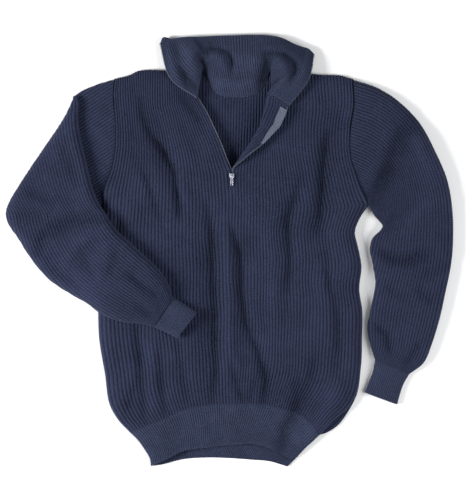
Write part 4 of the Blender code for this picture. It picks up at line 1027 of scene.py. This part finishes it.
def right_sleeve_patch():
    armhole = offset(ARM_RIGHT, -SEAM_GAP)[::-1]
    sections = finer(RIGHT_SLEEVE, SLEEVE_ROWS)
    first = straight(sections[0])

    def bowed(section, share):
        line = straight(section)
        return lambda s: line(s) + share * (on_polyline(armhole, s) - first(s))

    places = even(SLEEVE_ROWS) * (len(RIGHT_SLEEVE) - 1)
    bends = np.interp(places, range(len(ARMHOLE_BENDS)), ARMHOLE_BENDS)
    lines = [bowed(section, bend) for section, bend in zip(sections, bends)]
    crowns = [section.crown for section in sections]

    def phase_of(plan, shares, width, share):
        return shares * width / gathered(share, RIGHT_GATHER)

    return tube_patch(lines, crowns, SLEEVE_COLUMNS, phase_of, RIB_HEIGHT)


def cap_patch():
    """The top of the left sleeve, whose ribs rise to the armhole."""
    armhole = offset(ARM_LEFT, SEAM_GAP)[::-1]
    tuck = along(TUCK_LINE, even(30))
    edge = along(CAP_EDGE, even(CAP_ROWS))

    def between(share, corner):
        def line(s):
            plain = (1 - share) * on_polyline(armhole, s) + share * on_polyline(tuck, s)
            bulge = corner - ((1 - share) * armhole[0] + share * tuck[0])
            return plain + np.outer((1 - s) ** CAP_CORNER_HOLD, bulge)

        return line

    def phase_of(plan, shares, width, share):
        return (plan[:, 1] * math.cos(CAP_LEAN) - plan[:, 0] * math.sin(CAP_LEAN)) / CAP_PITCH

    lines = [between(0.0, armhole[0])]
    lines += [between(share, corner) for share, corner in zip(even(CAP_ROWS)[1:], edge[1:])]
    crowns = np.interp(even(CAP_ROWS), CAP_SHARES, CAP_CROWNS)
    return tube_patch(lines, crowns, CAP_COLUMNS, phase_of, RIB_HEIGHT)


def left_arm_patch(under):
    sections = finer(LEFT_ARM, ARM_ROWS)
    lines = [straight(section) for section in sections]
    crowns = [section.crown for section in sections]

    def phase_of(plan, shares, width, share):
        return (1 - shares) * width / gathered(share, LEFT_GATHER)

    return tube_patch(lines, crowns, ARM_COLUMNS, phase_of, RIB_HEIGHT, under)


def cuff_patch(table, under=(floor_under, floor_under)):
    sections = finer(table, CUFF_ROWS)
    lines = [straight(section) for section in sections]
    run = lines[-1](np.array([0.5]))[0] - lines[0](np.array([0.5]))[0]
    step = SEAM_GAP * run / np.linalg.norm(run)
    first = lines[0]
    lines[0] = lambda s: first(s) + step
    crowns = [section.crown for section in sections]

    def phase_of(plan, shares, width, share):
        return shares * RIBS_CUFF

    return tube_patch(lines, crowns, CUFF_STEPS * RIBS_CUFF, phase_of, FINE_HEIGHT, under)


def collar_seam(shares):
    """The collar's seam: over the left front's neck, round the back's, along the right's."""
    part = np.digitize(shares, [COLLAR_BACK_START, COLLAR_BACK_END])
    left = body_grid(along(NECK_LEFT, shares[part == 0] / COLLAR_BACK_START)[None])[0]
    left[:, 2] += OVER_EDGE
    span = COLLAR_BACK_END - COLLAR_BACK_START
    back = along(NECK_BACK, (shares[part == 1] - COLLAR_BACK_START) / span)
    back = lift(offset(back, 2 * SEAM_GAP), np.full(len(back), COLLAR_WALL / 2 + FLOOR_GAP))
    down = (1 - shares[part == 2]) / (1 - COLLAR_BACK_END)
    right = rolled(along(NECK_RIGHT, down)[None])[0]
    flat = body_grid(right[None, :, :2])[0, :, 2]
    turned = np.clip((right[:, 2] - flat) / LAPEL_RADIUS, 0, 1)
    right[:, 2] += OVER_EDGE * (1 - turned)
    right += LAPEL_ACROSS * SEAM_GAP * (1 + turned[:, None])
    seam = np.concatenate([left, back, right])
    reach = len(seam) // 50
    for combine in (np.max, np.mean):
        wide = np.pad(seam[:, 2], reach, mode="edge")
        evened = combine([wide[k : k + len(seam)] for k in range(2 * reach + 1)], axis=0)
        seam[:, 2] = np.where(shares < COLLAR_BACK_END + 0.1, evened, seam[:, 2])
    return seam


def collar_patch():
    stations = np.array(COLLAR, float)
    count, rows = FINE_STEPS * RIBS_COLLAR, COLLAR_ROWS
    shares = even(count)
    middle = along(stations[:, 1:4], shares, stations[:, 0])
    top = along(stations[:, 4:7], shares, stations[:, 0])
    rails = np.stack([collar_seam(shares), middle, top], 1)
    grid = np.stack([along(rail, even(rows), even(2)) for rail in rails], 1)
    plan = grid[..., :2].reshape(-1, 2)
    folds = fold_depth(plan, COLLAR_FOLDS) + 0.4 * uneven(plan, 35.0, 0.9)
    held = np.repeat(rounded(even(rows) / COLLAR_HOLD), count + 1)
    height = grid[..., 2].reshape(-1) - folds * held
    over = np.where(inside(plan, FRONT_OUTLINE), body_height(plan) + RIB_HEIGHT, 0.0)
    least = over + COLLAR_WALL / 2 + COLLAR_CLEARANCE
    free = np.repeat(even(rows) > 0, count + 1)
    height = np.where(free, np.maximum(height, least), height)
    grid[..., 2] = height.reshape(rows + 1, count + 1)
    patch = fine_patch(grid, COLLAR_WALL, count, rows, 0.2)
    patch.outer[..., 2] = np.maximum(patch.outer[..., 2], COLLAR_WALL)
    patch.inner[..., 2] = np.maximum(patch.inner[..., 2], 0.0)
    return patch, grid


def tape_reach(share):
    """Width of the tape that shows, by share of the way up the right zip edge."""
    return np.interp(share, [TAPE_START_RIGHT, 0.62, 0.8], [2.5, 9.0, TAPE_WIDTH])


def tape_right_patch(patch):
    """The tape on the turned-over front's inner face, from just past the zip edge."""
    shares = np.linspace(TAPE_START_RIGHT, TAPE_END_RIGHT, 28)
    rows = shares * (len(patch.inner) - 1)
    face = smooth(patch.inner, rows)
    back = smooth(patch.outer, rows)[:, 0]
    grid = []
    for line, width in zip(face, tape_reach(shares)):
        lengths = np.linalg.norm(np.diff(line, axis=0), axis=1)
        knots = np.concatenate([[0.0], np.cumsum(lengths)])
        past = line[0] - (line[1] - line[0]) / lengths[0] * TAPE_PROUD
        reaches = np.linspace(0, width, 9)
        held = np.stack([np.interp(reaches, knots, line[:, k]) for k in range(3)], 1)
        grid.append([past, *held])
    grid = np.array(grid)
    out = face[:, 0] - back
    out /= np.linalg.norm(out, axis=1)[:, None]
    near_face = grid + out[:, None] * TAPE_LIFT
    return tape_patch(near_face, near_face + out[:, None] * TAPE_THICKNESS)


def tape_left_patch():
    """The tape under the left front's zip edge, from just past it."""
    edge = along(ZIP_EDGE_LEFT, np.linspace(TAPE_START_LEFT, TAPE_END_LEFT, 40))
    plan = np.stack([offset(edge, reach) for reach in np.linspace(TAPE_WIDTH, -TAPE_PROUD, 10)], 1)
    height = body_height(plan.reshape(-1, 2)).reshape(plan.shape[:2])
    top = height - WALL - TAPE_LIFT_LEFT
    return tape_patch(lift(plan, top), lift(plan, top - TAPE_THICKNESS))


def tape_patch(near_face, far_face):
    across = np.linalg.norm(near_face - near_face[:, :1], axis=2)
    knit = np.stack([across, courses(near_face, 1.0)], -1)
    return Patch(near_face, far_face, knit, range(near_face.shape[1]), ALL_RIMS, False)


class Value:
    """A shader socket that sums can be written with."""

    def __init__(self, finish, socket):
        self.finish, self.socket = finish, socket

    def sum(self, operation, *values):
        inputs = dict(enumerate(values))
        return self.finish.node("ShaderNodeMath", {"operation": operation}, inputs)

    def __add__(self, other):
        return self.sum("ADD", self, other)

    def __sub__(self, other):
        return self.sum("SUBTRACT", self, other)

    def __rsub__(self, other):
        return self.sum("SUBTRACT", other, self)

    def __mul__(self, other):
        return self.sum("MULTIPLY", self, other)

    def __pow__(self, other):
        return self.sum("POWER", self, other)

    __radd__, __rmul__ = __add__, __mul__

    def sin(self):
        return self.sum("SINE", self * math.pi)

    def part(self):
        return self.sum("FRACT", self)

    def size(self):
        return self.sum("ABSOLUTE", self)


class Finish:
    """A material with the nodes that make it."""

    def __init__(self, name, roughness, metallic=0.0):
        self.material = bpy.data.materials.new(name)
        self.material.use_nodes = True
        self.tree = self.material.node_tree
        self.shader = self.tree.nodes["Principled BSDF"]
        self.set(self.shader, {"Roughness": roughness, "Metallic": metallic})

    def set(self, node, inputs):
        for name, value in inputs.items():
            if isinstance(value, Value):
                self.tree.links.new(value.socket, node.inputs[name])
            else:
                node.inputs[name].default_value = value

    def node(self, kind, settings, inputs, output=0):
        made = self.tree.nodes.new(kind)
        for name, value in settings.items():
            setattr(made, name, value)
        self.set(made, inputs)
        return Value(self, made.outputs[output])

    def noise(self, scale, detail=2.0, roughness=0.5):
        place = self.node("ShaderNodeTexCoord", {}, {}, "Object")
        inputs = {"Vector": place, "Scale": scale, "Detail": detail, "Roughness": roughness}
        return self.node("ShaderNodeTexNoise", {}, inputs)

    def mix(self, share, first, second):
        """A colour between two, by share."""
        settings = {"data_type": "RGBA"}
        made = self.node("ShaderNodeMix", settings, {0: share}, 2)
        node = made.socket.node
        self.set(node, {6: (*first, 1.0), 7: (*second, 1.0)})
        return made

    def stitches(self):
        """How far across a rib and along its stitches a place lies."""
        knit = self.node("ShaderNodeUVMap", {"uv_map": "knit"}, {})
        split = self.node("ShaderNodeSeparateXYZ", {}, {0: knit})
        node = split.socket.node
        return Value(self, node.outputs[0]), Value(self, node.outputs[1])

    def bump(self, height, distance, strength=1.0):
        inputs = {"Height": height, "Distance": distance, "Strength": strength}
        self.set(self.shader, {"Normal": self.node("ShaderNodeBump", {}, inputs)})


def knit_finish(name, dark, light):
    """Rib knit: each rib is a column of chevron stitches, with painted shade in its groove."""
    finish = Finish(name, 0.92)
    across, along_rib = finish.stitches()
    crest = across.sin().size()
    stitch = (along_rib + (across.part() - 0.5).size()).sin().size()
    blotch, heather, fuzz = finish.noise(16.0, 3.0), finish.noise(420.0, 3.0), finish.noise(1500.0)
    # Painted shade: the crest term darkens each rib's groove; stitch, heather and blotch are the
    # yarn's own tone
    shade = crest * 0.26 + stitch * crest * 0.26 + heather * 0.86 + blotch * 0.34 - 0.47
    # Painted shade from the folds, read from the mesh: darker in their troughs, lighter on their
    # ridges
    painted_fold_shade = finish.node("ShaderNodeAttribute", {"attribute_name": "painted_fold_shade"}, {}, 2)
    shade = finish.node("ShaderNodeClamp", {}, {0: shade - painted_fold_shade * 0.18})
    colour = finish.mix(shade, dark, light)
    finish.set(finish.shader, {"Base Color": colour, "Sheen Weight": 0.08, "Sheen Roughness": 0.5})
    finish.set(finish.shader, {"Sheen Tint": (0.55, 0.62, 0.9, 1.0), "Specular IOR Level": 0.12})
    finish.bump(stitch * crest * 0.7 + fuzz * 0.35, 0.0006, 0.8)
    return finish.material


def tape_finish():
    """Herringbone tape, its rows in millimetres."""
    finish = Finish("zip_tape_weave", 0.75)
    across, along_tape = finish.stitches()
    row = (across * 0.5).part()
    lean = (row - 0.5).size() * 2.0
    twill = (along_tape * 1.3 + lean).sin().size()
    shade = twill * 0.45 + finish.noise(700.0) * 0.5
    colour = finish.mix(shade, (0.050, 0.058, 0.094), (0.120, 0.133, 0.190))
    finish.set(finish.shader, {"Base Color": colour})
    finish.bump(twill, 0.0003, 0.7)
    return finish.material


def grained_finish(name, roughness, grain, dark, light, specular=0.5, bump=0.0):
    """A plain surface, mottled between two colours by a noise of this scale and detail."""
    finish = Finish(name, roughness)
    shade = finish.noise(*grain)
    colour = finish.mix(shade, dark, light)
    finish.set(finish.shader, {"Base Color": colour, "Specular IOR Level": specular})
    if bump:
        finish.bump(shade, bump, 0.6)
    return finish.material


def metal_finish():
    """Bright plated metal with a few fine scuffs."""
    finish = Finish("plated_zip_metal", 0.25, 1.0)
    scuff = finish.noise(260.0, 6.0, 0.7)
    fine = finish.noise(2400.0)
    colour = finish.mix(scuff, (0.30, 0.31, 0.39), (0.58, 0.59, 0.67))
    finish.set(finish.shader, {"Base Color": colour, "Roughness": scuff * 0.3 + 0.24})
    finish.bump(scuff + fine * 0.3, 0.00008, 0.5)
    return finish.material


def bead_row(name, route, bead, finish):
    """A joined row of small rounded beads, such as stitches or zip teeth, on a route."""
    knots = shares_of(route)
    span = np.linalg.norm(np.diff(route, axis=0), axis=1).sum()
    count = max(2, int(span / (bead.length + bead.gap)))
    middles = (np.arange(count) + 0.5) / count
    at = np.stack([np.interp(middles, knots, route[:, k]) for k in range(3)], 1)
    run = np.gradient(at, axis=0)
    run /= np.linalg.norm(run, axis=1)[:, None]
    side = np.stack([-run[:, 1], run[:, 0], np.zeros(count)], 1)
    side /= np.linalg.norm(side, axis=1)[:, None]
    up = np.cross(run, side)
    points, faces = [], []
    for k in range(count):
        start = len(points)
        points.append(at[k] - run[k] * bead.length / 2)
        for share in (-BEAD_SHOULDER, BEAD_SHOULDER):
            middle = at[k] + run[k] * bead.length * share
            for turn in np.linspace(0, 2 * math.pi, BEAD_SIDES + 1)[:-1]:
                reach = side[k] * math.cos(turn) * bead.width / 2
                reach += up[k] * math.sin(turn) * bead.height / 2
                points.append(middle + reach * BEAD_WAIST)
        points.append(at[k] + run[k] * bead.length / 2)
        first, second, last = start + 1, start + 1 + BEAD_SIDES, start + 1 + 2 * BEAD_SIDES
        for j in range(BEAD_SIDES):
            n = (j + 1) % BEAD_SIDES
            faces.append((start, first + n, first + j))
            faces.append((first + j, first + n, second + n, second + j))
            faces.append((last, second + j, second + n))
    mesh = bpy.data.meshes.new(name)
    mesh.from_pydata((np.array(points) * METRE).tolist(), [], faces)
    mesh.shade_smooth()
    mesh.materials.append(finish)
    return link(name, mesh)


def block(low, high, round_off, taper=1.0):
    """A rounded block about the pull's pivot, narrowed by the taper towards -Y."""
    low, high = np.array(low) * METRE, np.array(high) * METRE
    deselect()
    bpy.ops.mesh.primitive_cube_add(size=1.0, location=(low + high) / 2, scale=high - low)
    settle()
    piece = bpy.context.object
    bpy.ops.object.mode_set(mode="EDIT")
    bpy.ops.mesh.select_all(action="DESELECT")
    bpy.ops.object.mode_set(mode="OBJECT")
    for face in piece.data.polygons:
        face.select = face.normal.y < -0.9
    bpy.ops.object.mode_set(mode="EDIT")
    bpy.ops.transform.resize(value=(taper, 1.0, 1.0))
    bpy.ops.mesh.select_all(action="SELECT")
    bpy.ops.mesh.bevel(offset=round_off * METRE, segments=3, affect="EDGES")
    bpy.ops.object.mode_set(mode="OBJECT")
    return piece


def joined(name, pieces, tilt=0.0):
    """Metal pieces made one and set at the pull's pivot."""
    deselect()
    for piece in pieces:
        piece.select_set(True)
    bpy.context.view_layer.objects.active = pieces[0]
    bpy.ops.object.join()
    whole = bpy.context.object
    whole.name = name
    whole.rotation_euler = (tilt, 0.0, 0.0)
    whole.location = Vector(PIVOT) * METRE
    settle()
    bpy.ops.object.shade_smooth_by_angle(angle=math.radians(40))
    whole.data.materials.clear()
    whole.data.materials.append(METAL)
    return whole


def add_slider():
    """Two plates round a wedge, with the bridge that holds the pull."""
    top, half, end = -PIN_RISE, SLIDER_WIDTH / 2, SLIDER_LENGTH / 2
    pieces = [
        block((-half, -end, top - 1.0), (half, end, top), 0.45, SLIDER_TAPER),
        block((-half, -end, top - 2.6), (half, end, top - 1.7), 0.35, SLIDER_TAPER),
        block((-1.2, -1.0, top - 2.0), (1.2, 4.0, top - 0.6), 0.3, 0.5),
        block((-0.9, -4.1, top - 0.4), (0.9, -3.0, top + 3.3), 0.3),
        block((-0.9, 3.0, top - 0.4), (0.9, 4.1, top + 3.3), 0.3),
        block((-0.9, -4.1, top + 2.4), (0.9, 4.1, top + 3.5), 0.4),
    ]
    for x in (-3.7, 3.7):
        pieces.append(block((x - 0.5, -1.5, top - 1.4), (x + 0.5, 4.2, top - 0.7), 0.2))
    return joined("slider_body", pieces)


def add_pull():
    """The pull tab: two lugs on a pin, a tapered tab with a raised rim, and an eye."""
    pieces = [block((-2.5, -14.9, -0.3), (2.5, -4.6, 0.3), 0.2, 0.9)]
    for side in (-1, 1):
        lug, rim = side * 1.85, side * 2.05
        pieces.append(block((lug - 0.5, -5.6, -0.45), (lug + 0.5, 0.9, 0.45), 0.25))
        pieces.append(block((rim - 0.4, -15.2, -0.45), (rim + 0.4, -5.2, 0.5), 0.2))
    deselect()
    bpy.ops.mesh.primitive_torus_add(
        location=(0, EYE_PLACE * METRE, 0), major_radius=EYE_RADIUS * METRE,
        minor_radius=EYE_WIRE * METRE, major_segments=32, minor_segments=10,
    )
    pieces.append(bpy.context.object)
    deselect()
    bpy.ops.mesh.primitive_cylinder_add(
        vertices=24, radius=PIN_RADIUS * METRE, depth=PIN_LENGTH * METRE,
        rotation=(0, math.pi / 2, 0),
    )
    settle()
    pieces.append(bpy.context.object)
    return joined("pull_tab", pieces, PULL_TILT)


def above(route, rise):
    """A plan route lifted onto the front's ribs."""
    return lift(route, body_height(route) + rise)


def keep(piece, slot, *nodes):
    """The piece moves with the garment and stands for its plain solids."""
    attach(piece, "garment")
    if nodes:
        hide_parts(*nodes)
    return piece


def studio():
    """A pale floor, soft light from the left and the right, and the camera above."""
    deselect()
    bpy.ops.mesh.primitive_plane_add(size=8.0, location=(0, 0, -0.0005))
    floor = bpy.context.object
    floor.name = "studio_floor"
    settle()
    pale = grained_finish("pale_studio_floor", 0.85, (3.0, 4.0), (0.90,) * 3, (0.93,) * 3)
    floor.data.materials.append(pale)
    floor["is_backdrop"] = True

    scene = bpy.context.scene
    scene.view_settings.view_transform = "Standard"
    scene.world = bpy.data.worlds.new("studio")
    scene.world.use_nodes = True
    sky = scene.world.node_tree.nodes["Background"].inputs
    sky["Color"].default_value = (0.95, 0.97, 1.0, 1.0)
    sky["Strength"].default_value = 0.29
    for name, place, size, power in (
        ("key", (-2.7, -0.3, 1.6), 1.1, 152.0),
        ("fill", (2.2, -0.6, 1.9), 1.6, 72.0),
    ):
        light = bpy.data.lights.new(name, "AREA")
        light.size, light.energy = size, power
        lamp = link(name, light)
        lamp.location = place
        lamp.rotation_euler = (-Vector(place)).to_track_quat("-Z", "Y").to_euler()

    camera = bpy.data.cameras.new("camera")
    camera.sensor_width = SENSOR
    camera.lens = SENSOR * (CAMERA_HEIGHT - GARMENT_MIDDLE) / PHOTO_HEIGHT
    scene.camera = link("camera", camera)
    scene.camera.location = Vector((*PHOTO_CENTRE, CAMERA_HEIGHT)) * METRE


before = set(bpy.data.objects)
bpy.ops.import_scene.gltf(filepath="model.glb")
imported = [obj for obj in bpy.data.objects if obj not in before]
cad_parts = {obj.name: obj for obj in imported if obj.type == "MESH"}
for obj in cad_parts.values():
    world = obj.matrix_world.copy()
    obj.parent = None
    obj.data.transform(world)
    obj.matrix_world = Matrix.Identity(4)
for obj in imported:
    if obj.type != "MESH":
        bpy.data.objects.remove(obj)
cad_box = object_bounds()
studio()

FINISHES = {
    "body_knit": knit_finish("navy_rib_knit", (0.003, 0.004, 0.010), (0.038, 0.047, 0.099)),
    "fine_rib": knit_finish("navy_fine_rib_knit", (0.006, 0.008, 0.017), (0.048, 0.060, 0.116)),
    "zip_tape": tape_finish(),
}
COIL = grained_finish("zip_coil", 0.42, (900.0,), (0.06, 0.07, 0.11), (0.15, 0.17, 0.23))
YARN = grained_finish(
    "seam_yarn", 0.9, (1300.0,), (0.010, 0.013, 0.026), (0.046, 0.057, 0.112), 0.12, 0.0003
)
METAL = metal_finish()
THREAD = grained_finish(
    "seam_thread", 0.95, (900.0,), (0.002, 0.003, 0.006), (0.012, 0.014, 0.026), 0.1
)

front, front_middle, front_area = front_patches()
back, band_back = back_patch(), band_back_patch()
band, band_grid = band_front_patch()
sleeve, cuff, cap = right_sleeve_patch(), cuff_patch(RIGHT_CUFF), cap_patch()
under = under_left_arm()
arm, arm_cuff = left_arm_patch(under), cuff_patch(LEFT_CUFF, under)
collar, collar_grid = collar_patch()

# Each knitted piece, with the width and length of its flat cut in metres, and the folds whose
# painted shade darkens its colour in troughs and lightens it on ridges
SHEETS = (
    Sheet("front_panel", "body_knit", ["front"], (0.50, 0.68),
          front, front_area, ["back"], BODY_FOLDS),
    Sheet("back_panel", "body_knit", ["back"], (0.50, 0.68),
          [back], area(back.inner), [], ()),
    Sheet("waistband_front_rib", "fine_rib", ["waistband_front"], (0.40, 0.085),
          [band], area(band_grid), ["waistband_back"], BODY_FOLDS),
    Sheet("waistband_back_rib", "fine_rib", ["waistband_back"], (0.40, 0.11),
          [band_back], area(band_back.inner), [], ()),
    Sheet("right_sleeve", "body_knit", ["sleeve_right"], (0.46, 0.62),
          [sleeve], area(sleeve.outer), [], SLEEVE_FOLDS),
    Sheet("right_cuff", "fine_rib", ["cuff_right"], (0.16, 0.07),
          [cuff], area(cuff.outer), [], ()),
    Sheet("left_sleeve_top", "body_knit", ["sleeve_left_cap"], (0.46, 0.14),
          [cap], area(cap.outer), [], ()),
    Sheet("left_sleeve_arm", "body_knit", ["sleeve_left_upper", "sleeve_left_forearm"],
          (0.40, 0.56), [arm], area(arm.outer), ["sleeve_left_cap", "front"], SLEEVE_FOLDS),
    Sheet("left_cuff", "fine_rib", ["cuff_left"], (0.16, 0.07),
          [arm_cuff], area(arm_cuff.outer), ["front"], ()),
    Sheet("collar_rib", "fine_rib", ["collar"], (0.42, 0.10),
          [collar], area(collar_grid), ["back", "front"], COLLAR_FOLDS),
)
for row in SHEETS:
    piece = add_wall(row.name, row.patches, FINISHES[row.slot], row.folds)
    keep(piece, row.slot, *row.nodes)
    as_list(row.rests_on)

for name, patch, node in (
    ("left_zip_tape", tape_left_patch(), "zip_tape_left"),
    ("right_zip_tape", tape_right_patch(front[2]), "zip_tape_right"),
):
    keep(add_wall(name, [patch], FINISHES["zip_tape"]), "zip_tape", node)

# Coils along the edges of the zip and the collar, then the seams
left_coil = above(offset(along(ZIP_EDGE_LEFT, even(60)), -1.6), -0.6)
collar_left, collar_right = collar_grid[:, 0][::2], collar_grid[:, -1][::2]
hole_left, hole_right = along(ARMHOLE_LEFT, even(120)), along(ARMHOLE_RIGHT, even(120))
waist = along(WAIST_SEAM, even(160))[2:-2]
lapel = collar_grid[0, int(LAPEL_SEAM_START * collar_grid.shape[1]) :: 3]
for name, route, bead, finish, slot in (
    ("left_zip_coil", left_coil, TOOTH, COIL, "zip_tape"),
    ("left_collar_coil", collar_left + [-1.2, 0.4, 1.8], TOOTH, COIL, "zip_tape"),
    ("right_zip_coil", front_middle[2][:, 0] + [1.0, 0.0, 2.0], TOOTH, COIL, "zip_tape"),
    ("right_collar_coil", collar_right + [1.2, 0.0, 1.0], TOOTH, COIL, "zip_tape"),
    ("left_armhole_seam", above(hole_left[14:], 1.2), STITCH_BEAD, THREAD, "body_knit"),
    ("right_armhole_seam", above(hole_right, 1.2), STITCH_BEAD, THREAD, "body_knit"),
    ("left_armhole_welt", above(offset(hole_left[14:], -3.4), 1.1), WELT_BEAD, YARN, "body_knit"),
    ("right_armhole_welt", above(offset(hole_right, 3.4), 1.1), WELT_BEAD, YARN, "body_knit"),
    ("waistband_seam", above(waist, 0.4), WAIST_BEAD, YARN, "body_knit"),
    ("lapel_seam", lapel + [0, 0, 2.6], LAPEL_BEAD, YARN, "body_knit"),
):
    keep(bead_row(name, route, bead, finish), slot)

slider, pull = add_slider(), add_pull()
keep(slider, "zip_metal", "zip_slider")
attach(pull, "pull")
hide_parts("zip_pull")

made_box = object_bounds()
[[list(map(float, corner)) for corner in box] for box in (cad_box, made_box)]
